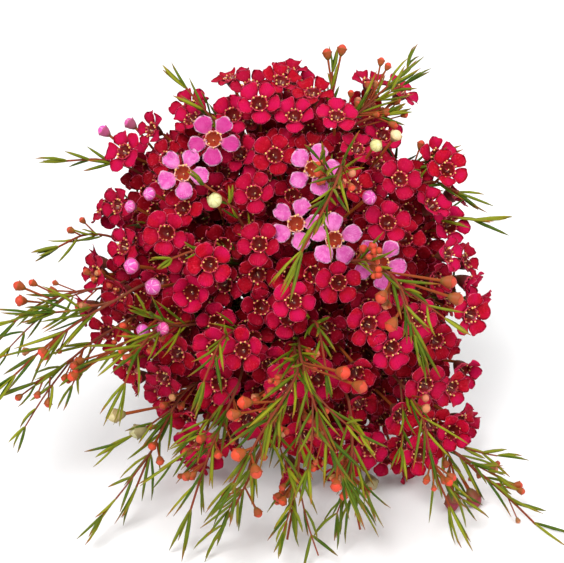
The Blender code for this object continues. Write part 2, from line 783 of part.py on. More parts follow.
    def shows(self, place, normal):
        """Whether most of a bloom at this place would be seen between those in front of it."""
        toward = (FRONT + normal * 0.4).normalized()
        turn = frame_to(toward)
        around = [turn @ Vector((math.cos(k * 1.57), math.sin(k * 1.57), 0.2)) * (5 * MM) for k in range(4)]
        return sum(not self.crowd.hides(place + step, toward) for step in (*around, toward * MM)) >= 3

    def plan_shoots(self):
        for name, pixels, leafy_from, leaf_mm, buds in SHOOTS:
            for nudge in range(10):
                route = [seen_at(x, y, front + nudge * 2) for x, y, front in pixels]
                twig = self.nearest_twigs(*dome_angles(route[0]))[nudge % 2]
                own = {(twig["branch"]["name"], "twig")}
                root = self.root_on(twig["route"], route[0], 0.9, 0.25)
                heading = (route[0] - root).normalized()
                points = smooth_route([root, root.lerp(route[0], 0.5), *route], 5 if len(route) < 4 else 6)
                tested = [root + heading * (1.5 * MM), *points[1:]]
                if not self.crowd.touches(*prism(tested, grown_by(SHOOT_RADII, CLEARANCE)), skip=own):
                    break
            else:
                print("shoot", name, "left out")
                continue
            branch = twig["branch"]
            branch["tubes"].append((points, SHOOT_RADII, 0))
            self.crowd.add(*prism(tested, SHOOT_RADII), (branch["name"], "twig"))
            shoot = {"points": points, "leafy_from": leafy_from, "leaf": leaf_mm * MM, "branch": branch}
            shoot["name"] = name
            twig["shoots"].append(shoot)
            for x, y, front, radius, colour in buds:
                place = seen_at(x, y, front + nudge * 2, (radius + 0.4) * MM)
                self.shoot_bud(shoot, place, radius * MM, colour)

    def shoot_bud(self, shoot, place, radius, colour):
        branch, points = shoot["branch"], shoot["points"]
        own = {(branch["name"], "twig")}
        shape = bud_shape(radius)
        for attempt in range(8):
            root = self.root_on(points, place, 0.8 + 0.25 * attempt, 0.3)
            axis = (place - root).normalized()
            if (place - axis * 1.5 * radius - root).dot(axis) < 1 * MM:
                continue
            turn = frame_to(axis)
            tested = shape.placed(place, turn, root + axis * (1.4 * MM), CLEARANCE)
            if self.crowd.touches(tested, shape.faces, skip=own):
                continue
            piece = {"kind": "bud_" + colour, "place": place, "axis": axis, "root": root}
            verts = shape.placed(place, turn, root - axis * SUNK)
            branch["pieces"].append({**piece, "verts": verts, "faces": shape.faces})
            tested = shape.placed(place, turn, root + axis * MM)
            self.crowd.add(tested, shape.faces, (branch["name"], "flower"))
            return
        print("bud left out", shoot["name"])

    def plan_leaves(self):
        for twig in self.twigs:
            for shoot in twig["shoots"]:
                self.shoot_leaves(shoot)
        for twig in self.twigs:
            if twig["direction"].z < 0.3:
                base, heading = along(twig["route"], 0.45), twig["route"][2] - twig["route"][1]
                roll = self.chance.uniform(0, math.pi)
                self.leaf_pair(twig["branch"], base, heading.normalized(), roll, 16 * MM, math.radians(36), 1)

    def shoot_leaves(self, shoot):
        points = shoot["points"]
        first = 0.3 + 0.7 * shoot["leafy_from"]
        count = max(2, round(route_length(points) * (1 - first) / LEAF_SPACING))
        turn = self.chance.uniform(0, math.pi)
        for i in range(count):
            last = i == count - 1
            share = 0.985 if last else first + (1 - first) * (i + 0.4) / count
            heading = (along(points, min(1, share + 0.03)) - along(points, share - 0.04)).normalized()
            size = shoot["leaf"] * self.chance.uniform(0.85, 1.1)
            tilt = math.radians(self.chance.uniform(10, 16) if last else self.chance.uniform(24, 34))
            base = along(points, share)
            self.leaf_pair(shoot["branch"], base, heading, turn + i * math.pi / 2, size, tilt, 2)

    def leaf_pair(self, branch, base, heading, roll, size, tilt, wanted):
        """Leaves at one point of a twig, opposite each other, each left out if it would touch a neighbour."""
        across = frame_to(heading, roll)
        for side in range(wanted):
            out = across @ Vector((1 - 2 * side, 0, 0))
            for attempt in range(4):
                lean = tilt * (1 - 0.22 * attempt)
                direction = (heading * math.cos(lean) + out * math.sin(lean)).normalized()
                if (base + direction * size).z < LOWEST:
                    direction.z = (LOWEST - base.z) / size
                    direction.normalize()
                verts = self.leaf_at(base, direction, size)
                grown = self.leaf_at(base + direction * (1.6 * MM), direction, size, CLEARANCE)
                own = {(branch["name"], "twig")}
                clear = min(v.z for v in verts) > 0.05 * MM
                if clear and not self.crowd.touches(grown, self.leaf.faces, skip=own):
                    piece = {"kind": "leaf", "verts": verts, "faces": self.leaf.faces, "base": base}
                    branch["pieces"].append({**piece, "axis": direction, "size": size})
                    tested = self.leaf_at(base + direction * MM, direction, size)
                    self.crowd.add(tested, self.leaf.faces, (branch["name"], "leaf"))
                    break

    def leaf_at(self, base, direction, size, grow=0.0):
        turn = frame_to(direction)
        width = LEAF_HALF_WIDTH + grow
        return [base + turn @ Vector((p.x * width, p.y * width, p.z * size)) for p in self.leaf.points]


def new_object(name, mesh, collection):
    obj = bpy.data.objects.new(name, mesh)
    collection.objects.link(obj)
    return obj


def tube(name, points, radii, resolution, collection):
    """A capped tube that tapers along its points."""
    curve = bpy.data.curves.new(name, "CURVE")
    curve.dimensions = "3D"
    curve.bevel_depth = 1.0
    curve.bevel_resolution = resolution
    curve.use_fill_caps = True
    spline = curve.splines.new("POLY")
    spline.points.add(len(points) - 1)
    for i, point in enumerate(points):
        spline.points[i].co = (*point, 1)
        spline.points[i].radius = radii[i]
    guide = new_object(name, curve, collection)
    bpy.context.view_layer.update()
    mesh = bpy.data.meshes.new_from_object(guide.evaluated_get(bpy.context.evaluated_depsgraph_get()))
    bpy.data.objects.remove(guide)
    bm = bmesh.new()
    bm.from_mesh(mesh)
    bmesh.ops.remove_doubles(bm, verts=bm.verts[:], dist=1e-6)
    bmesh.ops.recalc_face_normals(bm, faces=bm.faces[:])
    bm.to_mesh(mesh)
    bm.free()
    return new_object(name, mesh, collection)


def solid(name, verts, faces, collection):
    mesh = bpy.data.meshes.new(name)
    mesh.from_pydata(verts, [], faces)
    return new_object(name, mesh, collection)


def cut_off(obj, place, beyond):
    """Cuts away what lies beyond a plane and closes the cut flat."""
    bm = bmesh.new()
    bm.from_mesh(obj.data)
    cut = bmesh.ops.bisect_plane(
        bm, geom=bm.verts[:] + bm.edges[:] + bm.faces[:], plane_co=place, plane_no=beyond, clear_outer=True
    )
    edges = [g for g in cut["geom_cut"] if isinstance(g, bmesh.types.BMEdge)]
    bmesh.ops.holes_fill(bm, edges=edges, sides=0)
    bmesh.ops.recalc_face_normals(bm, faces=bm.faces[:])
    bm.to_mesh(obj.data)
    bm.free()


def fuse(base, pieces):
    """One union of a twig with every piece in the collection, which is then removed."""
    union = base.modifiers.new("fused", "BOOLEAN")
    union.operation = "UNION"
    union.operand_type = "COLLECTION"
    union.collection = pieces
    union.solver = "MANIFOLD"
    mesh = bpy.data.meshes.new_from_object(base.evaluated_get(bpy.context.evaluated_depsgraph_get()))
    base.modifiers.clear()
    base.data = mesh
    for obj in list(pieces.objects):
        bpy.data.objects.remove(obj)
    bpy.data.collections.remove(pieces)


def material(name, colour, roughness):
    made = bpy.data.materials.new(name)
    made.use_nodes = True
    shader = made.node_tree.nodes["Principled BSDF"]
    shader.inputs["Base Color"].default_value = (*colour, 1)
    shader.inputs["Roughness"].default_value = roughness
    return made


def build_stem(plant, collection, bark):
    """The woody stem, cut on the slant at its lower end."""
    count = len(plant.stem)
    radii = [plant.stem_radius(i / (count - 1)) for i in range(count)]
    stem = tube("main_stem", plant.stem, radii, 2, collection)
    end = plant.stem[0] - Vector((0, 3.2 * MM, 0))
    cut_off(stem, end, Vector((0, math.sin(CUT_SLANT), math.cos(CUT_SLANT))))
    stem.data.materials.append(bark)
    return stem


def build_branch(branch, collection, skin):
    name = branch["name"]
    pieces = bpy.data.collections.new(name + "_pieces")
    bpy.context.scene.collection.children.link(pieces)
    base = None
    for i, (points, radii, resolution) in enumerate(branch["tubes"]):
        count = len(points)
        taper = [radii[0] + (radii[1] - radii[0]) * k / (count - 1) for k in range(count)]
        made = tube(f"{name}_twig{i}", points, taper, resolution, pieces if base else collection)
        base = base or made
    cut_off(base, *branch["cut"])
    base.name = name
    for i, piece in enumerate(branch["pieces"]):
        solid(f"{name}_piece{i}", piece["verts"], piece["faces"], pieces)
    fuse(base, pieces)
    base.data.materials.clear()
    base.data.materials.append(skin)
    if min(v.co.z for v in base.data.vertices) < 0:
        cut_off(base, Vector(), Vector((0, 0, -1)))
    return base


def main():
    for obj in list(bpy.data.objects):
        bpy.data.objects.remove(obj)
    stem = bpy.data.collections.new("waxflower_stem")
    bpy.context.scene.collection.children.link(stem)
    bark = material("bark", (0.20, 0.12, 0.07), 0.75)
    crimson = material("crimson_petal", (0.50, 0.01, 0.07), 0.6)
    plant = Plant()
    build_stem(plant, stem, bark)
    for branch in plant.branches:
        build_branch(branch, stem, crimson)
    kinds = [piece["kind"].split("_")[0] for branch in plant.branches for piece in branch["pieces"]]
    for kind in ("bloom", "bud", "leaf"):
        print(kind, kinds.count(kind))


main()
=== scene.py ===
import json
import math
import random

import bmesh
import bpy
import numpy as np
from mathutils import Euler, Matrix, Vector
from mathutils.bvhtree import BVHTree

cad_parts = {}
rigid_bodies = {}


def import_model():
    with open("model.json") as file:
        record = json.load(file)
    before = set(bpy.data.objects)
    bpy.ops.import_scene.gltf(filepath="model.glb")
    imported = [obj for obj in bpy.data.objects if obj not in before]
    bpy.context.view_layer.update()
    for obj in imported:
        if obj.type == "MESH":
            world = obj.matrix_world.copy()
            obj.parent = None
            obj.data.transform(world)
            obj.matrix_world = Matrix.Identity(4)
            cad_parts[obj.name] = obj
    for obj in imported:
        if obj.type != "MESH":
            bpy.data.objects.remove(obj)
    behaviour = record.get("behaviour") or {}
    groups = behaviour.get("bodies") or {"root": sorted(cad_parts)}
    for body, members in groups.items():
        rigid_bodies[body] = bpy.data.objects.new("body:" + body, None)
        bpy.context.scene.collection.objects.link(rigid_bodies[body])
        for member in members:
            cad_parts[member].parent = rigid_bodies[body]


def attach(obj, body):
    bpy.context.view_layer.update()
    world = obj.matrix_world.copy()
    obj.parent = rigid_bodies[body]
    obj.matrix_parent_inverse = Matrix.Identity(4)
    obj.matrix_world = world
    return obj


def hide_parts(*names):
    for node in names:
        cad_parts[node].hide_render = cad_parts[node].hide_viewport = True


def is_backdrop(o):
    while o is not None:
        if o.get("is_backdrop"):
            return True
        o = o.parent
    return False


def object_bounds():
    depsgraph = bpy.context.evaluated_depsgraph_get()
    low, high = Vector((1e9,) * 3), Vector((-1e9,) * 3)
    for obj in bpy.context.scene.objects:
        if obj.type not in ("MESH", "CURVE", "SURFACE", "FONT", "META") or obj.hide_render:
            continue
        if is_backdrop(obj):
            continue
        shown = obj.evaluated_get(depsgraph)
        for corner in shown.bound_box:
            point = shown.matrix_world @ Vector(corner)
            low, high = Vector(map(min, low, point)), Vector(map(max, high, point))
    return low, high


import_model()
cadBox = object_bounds()

mm = 0.001
seed = 7  # the plan's seed; the looks draw from their own

# The head is a dome whose front is tilted up from the surface
headSizes = {
    "centre": (0.0035, -0.1056, 0.070),
    "tilt": math.radians(30),
    "halfWidth": 68 * mm,
    "halfHeight": 70 * mm,
    "frontDepth": 46 * mm,
    "backDepth": 40 * mm,
    # how far its edge stands out or in, mm, by degrees from the right in the photograph
    "outline": (
        (5, -3), (15, -4), (25, 0), (34, 5), (45, -7), (57, 6), (75, 2), (97, 4),
        (112, 0), (128, 4), (146, 6), (162, 0), (190, 5), (207, 0), (226, -7), (240, -2),
        (300, -1), (310, 12), (324, 17), (336, 0), (350, 5),
    ),
    "seenAt": (283, 272),  # pixel of its centre in the photograph
    "pixel": 0.37 * mm,
    "eyeDistance": 600 * mm,
}
headCentre = Vector(headSizes["centre"])
rightWay = Vector((1, 0, 0))
upWay = Vector((0, math.sin(headSizes["tilt"]), math.cos(headSizes["tilt"])))
frontWay = Vector((0, -math.cos(headSizes["tilt"]), math.sin(headSizes["tilt"])))

# The woody stem: distance behind the head's centre, sideways, height, radius
stemSizes = {
    "route": (
        (318, 5, 2.75, 2.7), (275, 3, 3.1, 2.6), (225, 0, 5.6, 2.5), (170, -2, 12.0, 2.4),
        (120, 0, 22.0, 2.3), (86, 1, 31.5, 2.2), (54, 0, 43.5, 2.0), (26, 0, 56.5, 1.7),
        (8, 0, 65.5, 1.3),
    ),
    "branchingFrom": 0.77,
    "cutSlant": math.radians(50),
}

branchSizes = {
    "branches": 10,
    "widest": math.radians(100),
    "radii": (1.6 * mm, 0.75 * mm),
    "twigs": 32,
    "twigWidest": math.radians(112),
    "twigInset": 15 * mm,
    "lump": 3.5 * mm,
    "twigRadii": (1.05 * mm, 0.72 * mm),
    "twigLowest": 9 * mm,
}

bloomSizes = {
    "radius": 8.1 * mm,
    "paleRadius": 9.4 * mm,
    "cupRim": 2.95 * mm,
    "cupFoot": 0.75 * mm,
    "cupDepth": 4.6 * mm,
    "cupRecess": 2.2 * mm,
    "rimDepth": 0.8 * mm,
    "petalHalfWidths": (0.38, 0.21),
    "pedicel": 0.48 * mm,
    "simpleFrom": math.radians(58),
    # each layer inside the dome: shallowest and deepest mm, how far round in degrees, how many
    "layers": ((-1.0, 2.0, 99, 45), (4.0, 9.0, 82, 26), (9.0, 14.0, 75, 14), (14.0, 20.0, 70, 5)),
}

# Blooms by pixel of the photograph, and how far they stand out of the dome in mm
bloomPlaces = {
    "pale": (
        (215, 143, 2.0), (184, 175, 1.0), (312, 173, 2.5), (296, 224, -1.0), (333, 241, 1.5),
        (377, 264, 3.0),
    ),
    "front": (
        (293, 301, 3.0), (337, 283, 2.0), (211, 265, 2.0), (337, 117, 0.0), (259, 245, 0.0),
        (366, 324, 2.0), (386, 224, 1.0), (239, 343, 0.5), (303, 434, 1.0), (168, 234, 1.0),
        (259, 104, 0.0), (295, 112, -1.0), (254, 194, 0.5), (275, 157, 1.5), (398, 181, 1.0),
        (285, 346, 0.5), (390, 348, 0.5), (150, 284, 0.0), (232, 78, 0.0), (288, 72, 0.0),
        (120, 148, 0.0), (470, 315, 0.0), (451, 388, 0.0), (420, 386, 1.0), (462, 424, 0.0),
        (430, 424, 0.0), (405, 408, 1.0), (402, 92, 0.0),
    ),
    "foot": ((196, 440), (292, 466), (405, 455), (340, 462)),  # their lower petals touch the surface
}

# Buds: pixel, how far they stand out, radius, colour
budPlaces = {
    "round": (
        (144, 267, 7.0, 2.7, "pink"), (165, 286, 8.0, 2.7, "pink"), (153, 327, 6.0, 2.2, "pink"),
        (171, 325, 6.0, 2.2, "pink"), (156, 198, 4.0, 2.2, "pink"), (138, 210, 4.0, 2.1, "pink"),
        (226, 203, 6.0, 2.4, "cream"), (362, 204, 7.0, 2.4, "pink"), (369, 155, 6.0, 2.1, "cream"),
        (387, 146, 6.0, 2.1, "cream"), (135, 128, 3.0, 2.2, "pink"), (109, 135, 3.0, 2.2, "pink"),
    ),
    "foot": ((246, 466), (372, 468)),  # pressed a little flat on the surface
    "footRadius": 2.6 * mm,
}

leafSizes = {"halfWidth": 0.74 * mm, "spacing": 9.4 * mm}

room = {
    "clearance": 0.42 * mm,
    "sunk": 0.1 * mm,
    "petalPressed": 0.4 * mm,
    "budPressed": 0.55 * mm,
    "lowest": 0.9 * mm,
}

# Leafy shoots: route by pixel and mm in front of the head's centre, share of the route below the leaves,
# leaf length in mm, and the buds at their tips: pixel, mm in front, radius, colour where it isn't orange
shootSizes = {
    "radii": (0.75 * mm, 0.5 * mm),
    "routes": (
        ("left_long", ((150, 283, 24), (108, 305, 32), (60, 335, 35), (14, 376, 31)), 0.25, 20, ()),
        ("left_upper", ((118, 285, 12), (76, 292, 15), (42, 303, 16), (14, 322, 16)), 0.5, 16,
            ((18, 286, 17, 1.9), (32, 283, 17, 1.4), (20, 301, 22, 2.0))),
        ("left_lower", ((132, 318, 18), (88, 345, 24), (58, 370, 26), (34, 384, 25)), 0.4, 15,
            ((37, 396, 28, 1.3), (48, 404, 25, 1.5), (18, 398, 24, 1.3))),
        ("left_front", ((160, 330, 38), (143, 343, 46), (132, 366, 52), (124, 386, 52)), 0.2, 19, ()),
        ("left_low_buds", ((150, 335, 20), (118, 345, 26), (95, 360, 27)), 0.3, 13,
            ((78, 362, 27, 1.7), (72, 377, 31, 1.8))),
        ("far_left", ((125, 165, 6), (92, 159, 7), (66, 161, 7)), 0.4, 12, ()),
        ("left_tuft", ((100, 232, 3), (78, 238, 3), (58, 247, 3)), 0.4, 12,
            ((82, 220, 3, 1.2), (70, 230, 3, 1.4))),
        ("upper_left", ((206, 112, 22), (198, 102, 25), (186, 88, 25)), 0.2, 13, ()),
        ("top_buds", ((333, 106, 9), (331, 84, 9), (332, 72, 9)), 0.3, 10,
            ((327, 53, 9, 1.8), (342, 49, 9, 1.8))),
        ("top_right", ((350, 120, 14), (368, 104, 15), (388, 86, 13)), 0.3, 16,
            ((381, 61, 13, 1.4), (388, 66, 17, 1.3))),
        ("right_buds", ((362, 121, 13), (378, 117, 13), (386, 115, 13)), 0.9, 10,
            ((397, 101, 13, 1.5), (394, 125, 13, 1.6), (405, 115, 13, 1.2))),
        ("right_upper", ((412, 166, 9), (430, 160, 9), (438, 158, 9)), 0.4, 11, ((421, 144, 9, 1.5),)),
        ("right_mid", ((422, 180, 11), (442, 186, 11), (458, 193, 11)), 0.3, 14, ()),
        ("right_tuft", ((448, 217, 11), (462, 219, 11), (474, 220, 11)), 0.3, 14, ()),
        ("front_top", ((345, 160, 46), (331, 195, 56), (314, 230, 61), (300, 256, 60)), 0.15, 17, ()),
        ("front_right", ((376, 262, 50), (397, 282, 56), (406, 312, 59), (416, 340, 57)), 0.35, 16,
            ((450, 283, 50, 2.3), (457, 300, 50, 2.3), (381, 299, 58, 2.1), (391, 327, 58, 2.2))),
        ("right_long", ((440, 440, 14), (470, 465, 16), (502, 492, 16), (536, 525, 15)), 0.35, 17, ()),
        ("right_low", ((418, 405, 32), (424, 440, 37), (434, 470, 37), (450, 508, 34)), 0.2, 18, ()),
        ("right_low_buds", ((448, 450, 10), (453, 468, 10), (455, 478, 10)), 0.7, 9,
            ((452, 503, 10, 2.9, "brown"), (474, 499, 10, 2.9, "brown"))),
        ("low_middle", ((352, 400, 34), (350, 450, 40), (352, 495, 40), (360, 530, 37)), 0.3, 19, ()),
        ("near_middle", ((303, 368, 60), (316, 410, 68), (330, 450, 70), (344, 480, 69)), 0.1, 18,
            ((344, 374, 66, 2.3), (361, 388, 66, 2.2), (336, 488, 75, 1.9))),
        ("near_left", ((296, 378, 60), (272, 418, 66), (250, 450, 66), (232, 486, 62)), 0.1, 19,
            ((243, 404, 67, 2.2), (232, 416, 67, 2.0), (237, 456, 68, 2.3), (256, 474, 67, 2.1))),
        ("low_left", ((236, 392, 36), (218, 430, 42), (204, 468, 42), (190, 512, 38)), 0.3, 19,
            ((186, 453, 42, 1.6), (200, 440, 44, 1.6), (218, 456, 46, 1.5))),
        ("far_low_left", ((180, 395, 22), (167, 420, 26), (152, 450, 26), (136, 488, 24)), 0.3, 17,
            ((115, 416, 24, 2.6, "green"), (137, 432, 25, 2.7, "green"), (152, 447, 32, 1.5),
             (160, 462, 30, 1.5))),
        ("low_centre", ((300, 420, 36), (298, 470, 40), (292, 512, 38), (287, 540, 36)), 0.3, 17, ()),
        ("low_centre_left", ((270, 420, 40), (258, 460, 44), (238, 500, 42), (222, 528, 38)), 0.3, 17,
            ((258, 514, 42, 1.6),)),
        ("middle_left", ((222, 340, 50), (212, 362, 55), (203, 384, 55)), 0.15, 14, ()),
        ("little_left", ((190, 250, 46), (178, 256, 50), (170, 260, 50)), 0.1, 8, ()),
        ("little_upper", ((222, 196, 48), (210, 188, 52), (202, 184, 52)), 0.1, 8, ()),
        ("middle", ((318, 328, 54), (323, 352, 58), (326, 372, 58)), 0.15, 10, ()),
    ),
}


def headPoint(right, up, front):
    return headCentre + rightWay * right + upWay * up + frontWay * front


# The point seen at a pixel this far in front of the head's centre, or nearer above the surface
def seenAt(pixelX, pixelY, frontMm, lowest=room["lowest"]):
    front = frontMm * mm
    up = (headSizes["seenAt"][1] - pixelY) * headSizes["pixel"]
    rise = upWay.z * up
    needed = (lowest - headCentre.z - rise) / (frontWay.z - rise / headSizes["eyeDistance"])
    front = max(front, needed)
    scale = 1 - front / headSizes["eyeDistance"]
    return headPoint((pixelX - headSizes["seenAt"][0]) * headSizes["pixel"] * scale, up * scale, front)


# How far the head stands out of a plain dome in this direction, most of all at its edge
def swell(polar, azimuth):
    angle = math.degrees(azimuth) % 360
    angle += 360 if angle < headSizes["outline"][0][0] else 0
    last = (headSizes["outline"][0][0] + 360, headSizes["outline"][0][1])
    for (start, low), (end, high) in zip(headSizes["outline"], (*headSizes["outline"][1:], last)):
        if angle <= end:
            break
    return (low + (high - low) * (angle - start) / (end - start)) * mm * math.sin(polar) ** 3


# A point on the head's dome and its outward normal
def dome(polar, azimuth, inset=0.0):
    across, over = math.sin(polar) * math.cos(azimuth), math.sin(polar) * math.sin(azimuth)
    out = math.cos(polar)
    depth = headSizes["frontDepth"] if out > 0 else headSizes["backDepth"]
    inward = inset - swell(polar, azimuth)
    wide, high = headSizes["halfWidth"], headSizes["halfHeight"]
    point = headPoint((wide - inward) * across, (high - inward) * over, (depth - inset) * out)
    normal = rightWay * (across / wide) + upWay * (over / high)
    return point, (normal + frontWay * (out / depth)).normalized()


# The polar angle and azimuth on the dome of the ray from the head's centre to a point
def domeAngles(point):
    offset = point - headCentre
    out = offset.dot(frontWay)
    depth = headSizes["frontDepth"] if out > 0 else headSizes["backDepth"]
    across, over = offset.dot(rightWay) / headSizes["halfWidth"], offset.dot(upWay) / headSizes["halfHeight"]
    scaled = Vector((across, over, out / depth)).normalized()
    return math.acos(max(-1.0, min(1.0, scaled.z))), math.atan2(scaled.y, scaled.x)


def ray(polar, azimuth):
    return Vector((math.sin(polar) * math.cos(azimuth), math.sin(polar) * math.sin(azimuth), math.cos(polar)))


# Directions spread evenly over a cap by the golden angle, as polar angles and azimuths
def evenDirections(count, widest, start):
    golden = math.pi * (3 - math.sqrt(5))
    span = 1 - math.cos(widest)
    return [(math.acos(1 - span * (i + 0.5) / count), i * golden + start) for i in range(count)]


def routeLength(points):
    return sum((b - a).length for a, b in zip(points, points[1:]))


# The point at this share of a route's length
def along(points, share):
    left = share * routeLength(points)
    for start, end in zip(points, points[1:]):
        length = (end - start).length
        if left <= length:
            return start.lerp(end, left / length)
        left -= length
    return points[-1].copy()


# Points evenly spread on a Catmull-Rom curve through a route's own points
def smoothRoute(points, count):
    ends = [points[0] * 2 - points[1], *points, points[-1] * 2 - points[-2]]
    fine = []
    steps = 12
    for a, b, c, d in zip(ends, ends[1:], ends[2:], ends[3:]):
        for step in range(steps):
            t = step / steps
            curved = 2 * a - 5 * b + 4 * c - d + t * (3 * b - a - 3 * c + d)
            fine.append(b + 0.5 * t * ((c - a) + t * curved))
    fine.append(points[-1].copy())
    return [along(fine, i / (count - 1)) for i in range(count)]


# A rotation that takes +Z to this direction
def frameTo(direction, roll=0.0):
    return direction.to_track_quat("Z", "Y").to_matrix() @ Matrix.Rotation(roll, 3, "Z")


def sideways(heading, roll):
    return frameTo(heading, roll) @ Vector((1, 0, 0))


# The way that leans out of a heading by an angle
def leaned(heading, out, lean):
    return (heading * math.cos(lean) + out * math.sin(lean)).normalized()


def grownBy(radii, margin):
    return tuple(radius + margin for radius in radii)


# A bloom, bud or leaf to be repeated: its points, faces, root ring, the depth of its foot, a bud's radius
class CoarseShape:
    def __init__(self, bm, footDepth=0.0, radius=0.0):
        bmesh.ops.remove_doubles(bm, verts=bm.verts[:], dist=1e-6)
        bmesh.ops.recalc_face_normals(bm, faces=bm.faces[:])
        bm.normal_update()
        bm.verts.index_update()
        self.points = [v.co.copy() for v in bm.verts]
        self.normals = [v.normal.copy() for v in bm.verts]
        self.faces = [[v.index for v in f.verts] for f in bm.faces]
        lowest = min(p.z for p in self.points)
        self.ring = [i for i, p in enumerate(self.points) if p.z < lowest + 1e-6]
        self.headFaces = [f for f in self.faces if not any(i in self.ring for i in f)]
        self.footDepth = footDepth
        self.radius = radius
        bm.free()

    # The points in place, the root ring moved to a twig, and the surface grown by a margin
    def placed(self, place, turn, root=None, grow=0.0):
        verts = [place + turn @ (p + n * grow) for p, n in zip(self.points, self.normals)]
        if root is not None:
            middle = sum((self.points[i] for i in self.ring), Vector()) / len(self.ring)
            for i in self.ring:
                spoke = self.points[i] - middle
                verts[i] = root + turn @ (spoke + spoke.normalized() * grow)
        return verts


# A cone with its top and its bottom face
def cone(segments, footRadius, topRadius, depth, middle):
    bm = bmesh.new()
    sizes = {"radius1": footRadius, "radius2": topRadius, "depth": depth}
    place = Matrix.Translation((0, 0, middle))
    bmesh.ops.create_cone(bm, cap_ends=True, segments=segments, matrix=place, **sizes)
    faces = sorted(bm.faces, key=lambda f: f.calc_center_median().z)
    return bm, faces[-1], faces[0]


# A cup with five petals and a pedicel: a cone, its rim drawn out into petals, its top poked in. The
# blades are the steps of a petal: share of its reach, half width as a share of the radius. Each petal
# has a keel below its middle and a thin outer edge. Without a foot, the cup narrows all the way to
# the twig
def coarseBloom(radius, lift, blades, footed=True):
    rimDepth, cupDepth = bloomSizes["rimDepth"], bloomSizes["cupDepth"]
    foot = -rimDepth - cupDepth
    middle = foot + cupDepth / 2
    bm, top, bottom = cone(5, bloomSizes["cupFoot"], bloomSizes["cupRim"], cupDepth, middle)
    top = bmesh.ops.extrude_discrete_faces(bm, faces=[top])["faces"][0]
    for vertex in top.verts:
        vertex.co.z += rimDepth
    root = bmesh.ops.extrude_discrete_faces(bm, faces=[bottom])["faces"][0] if footed else bottom
    for vertex in root.verts:
        vertex.co *= bloomSizes["pedicel"] / bloomSizes["cupFoot"]
        vertex.co.z = foot - 6 * mm
    band = [f for f in bm.faces if abs(f.calc_center_median().z + rimDepth / 2) < 1e-5]
    reach = radius - bloomSizes["cupRim"] * math.cos(math.pi / 5)
    for face in band:
        middle = face.calc_center_median()
        out = Vector((middle.x, middle.y, 0)).normalized()
        side = Vector((-out.y, out.x, 0))
        start = out * middle.xy.length
        for share, halfWidth in blades:
            angle = lift * (1.5 - 0.7 * share)
            thick = 0 if share == 1 else rimDepth * 1.25
            face = bmesh.ops.extrude_discrete_faces(bm, faces=[face])["faces"][0]
            run, rise = math.cos(angle) * reach * share, math.sin(angle) * reach * share
            centreZ = face.calc_center_median().z
            for vertex in face.verts:
                upper = vertex.co.z > centreZ
                sign = 1 if vertex.co.dot(side) > 0 else -1
                half = 0 if thick and not upper else halfWidth * radius
                vertex.co = start + out * run + side * (sign * half)
                vertex.co.z = rise - (0 if upper else thick)
    bmesh.ops.poke(bm, faces=[top])
    pit = min((v for v in bm.verts if v.co.xy.length < 1e-6), key=lambda v: abs(v.co.z))
    pit.co.z = -bloomSizes["cupRecess"]
    return CoarseShape(bm, rimDepth + cupDepth if footed else rimDepth)


# A bud on its pedicel: a cone that swells to the bud, with a domed top
def coarseBud(radius):
    segments = 5 if radius > 2 * mm else 4
    bm, top, bottom = cone(segments, 0.3 * radius, radius, 1.5 * radius, -0.75 * radius)
    root = bmesh.ops.extrude_discrete_faces(bm, faces=[bottom])["faces"][0]
    for vertex in root.verts:
        vertex.co *= 0.42 * mm / (0.3 * radius)
        vertex.co.z = -1.5 * radius - 5 * mm
    bmesh.ops.poke(bm, faces=[top], offset=0.85 * radius)
    return CoarseShape(bm, 1.5 * radius, radius)


# A three-sided needle of unit length, widest before the middle
def coarseLeaf():
    bm = bmesh.new()
    bmesh.ops.create_uvsphere(bm, u_segments=3, v_segments=2, radius=1)
    for vertex in bm.verts:
        vertex.co.z = 0.42 if abs(vertex.co.z) < 0.5 else (vertex.co.z + 1) / 2
    return CoarseShape(bm)


# Faces between rows of points round a tube, and over its two ends
def tubeFaces(rows, sides, closed=True):
    faces = []
    for i in range(rows - 1):
        for k in range(sides):
            a, b = i * sides + k, i * sides + (k + 1) % sides
            faces.append([a, b, b + sides, a + sides])
    if closed:
        faces.append(list(range(sides))[::-1])
        faces.append([(rows - 1) * sides + k for k in range(sides)])
    return faces


# A closed tube along points, with a radius at each
def tubeAlong(points, radii, sides):
    verts = []
    for i, point in enumerate(points):
        before, after = points[max(i - 1, 0)], points[min(i + 1, len(points) - 1)]
        turn = frameTo((after - before).normalized())
        for k in range(sides):
            angle = 2 * math.pi * k / sides
            verts.append(point + turn @ Vector((math.cos(angle), math.sin(angle), 0)) * radii[i])
    return verts, tubeFaces(len(points), sides)


# A tube's surface, only for testing what it would touch
def prism(points, radii, sides=4):
    last = len(points) - 1
    return tubeAlong(points, [radii[0] + (radii[1] - radii[0]) * i / last for i in range(last + 1)], sides)


# What is placed so far, so that a new piece can be tested against it
class Crowd:
    def __init__(self):
        self.items = []

    # A surface to search, with the centre and radius of a ball round it
    def item(self, verts, faces):
        centre = sum(verts, Vector()) / len(verts)
        return BVHTree.FromPolygons(verts, faces), centre, max((v - centre).length for v in verts)

    def touches(self, verts, faces, skip=(), only=None):
        tree, centre, reach = self.item(verts, faces)
        for otherTree, otherCentre, otherReach, key in self.items:
            if key in skip or only not in (None, key[1]):
                continue
            if (otherCentre - centre).length <= reach + otherReach and tree.overlap(otherTree):
                return True
        return False

    # Whether a bloom or bud stands in front of a point
    def hides(self, point, direction):
        flowers = [tree for tree, _, _, key in self.items if key[1] == "flower"]
        return any(tree.ray_cast(point, direction)[0] for tree in flowers)

    def add(self, verts, faces, key):
        self.items.append((*self.item(verts, faces), key))


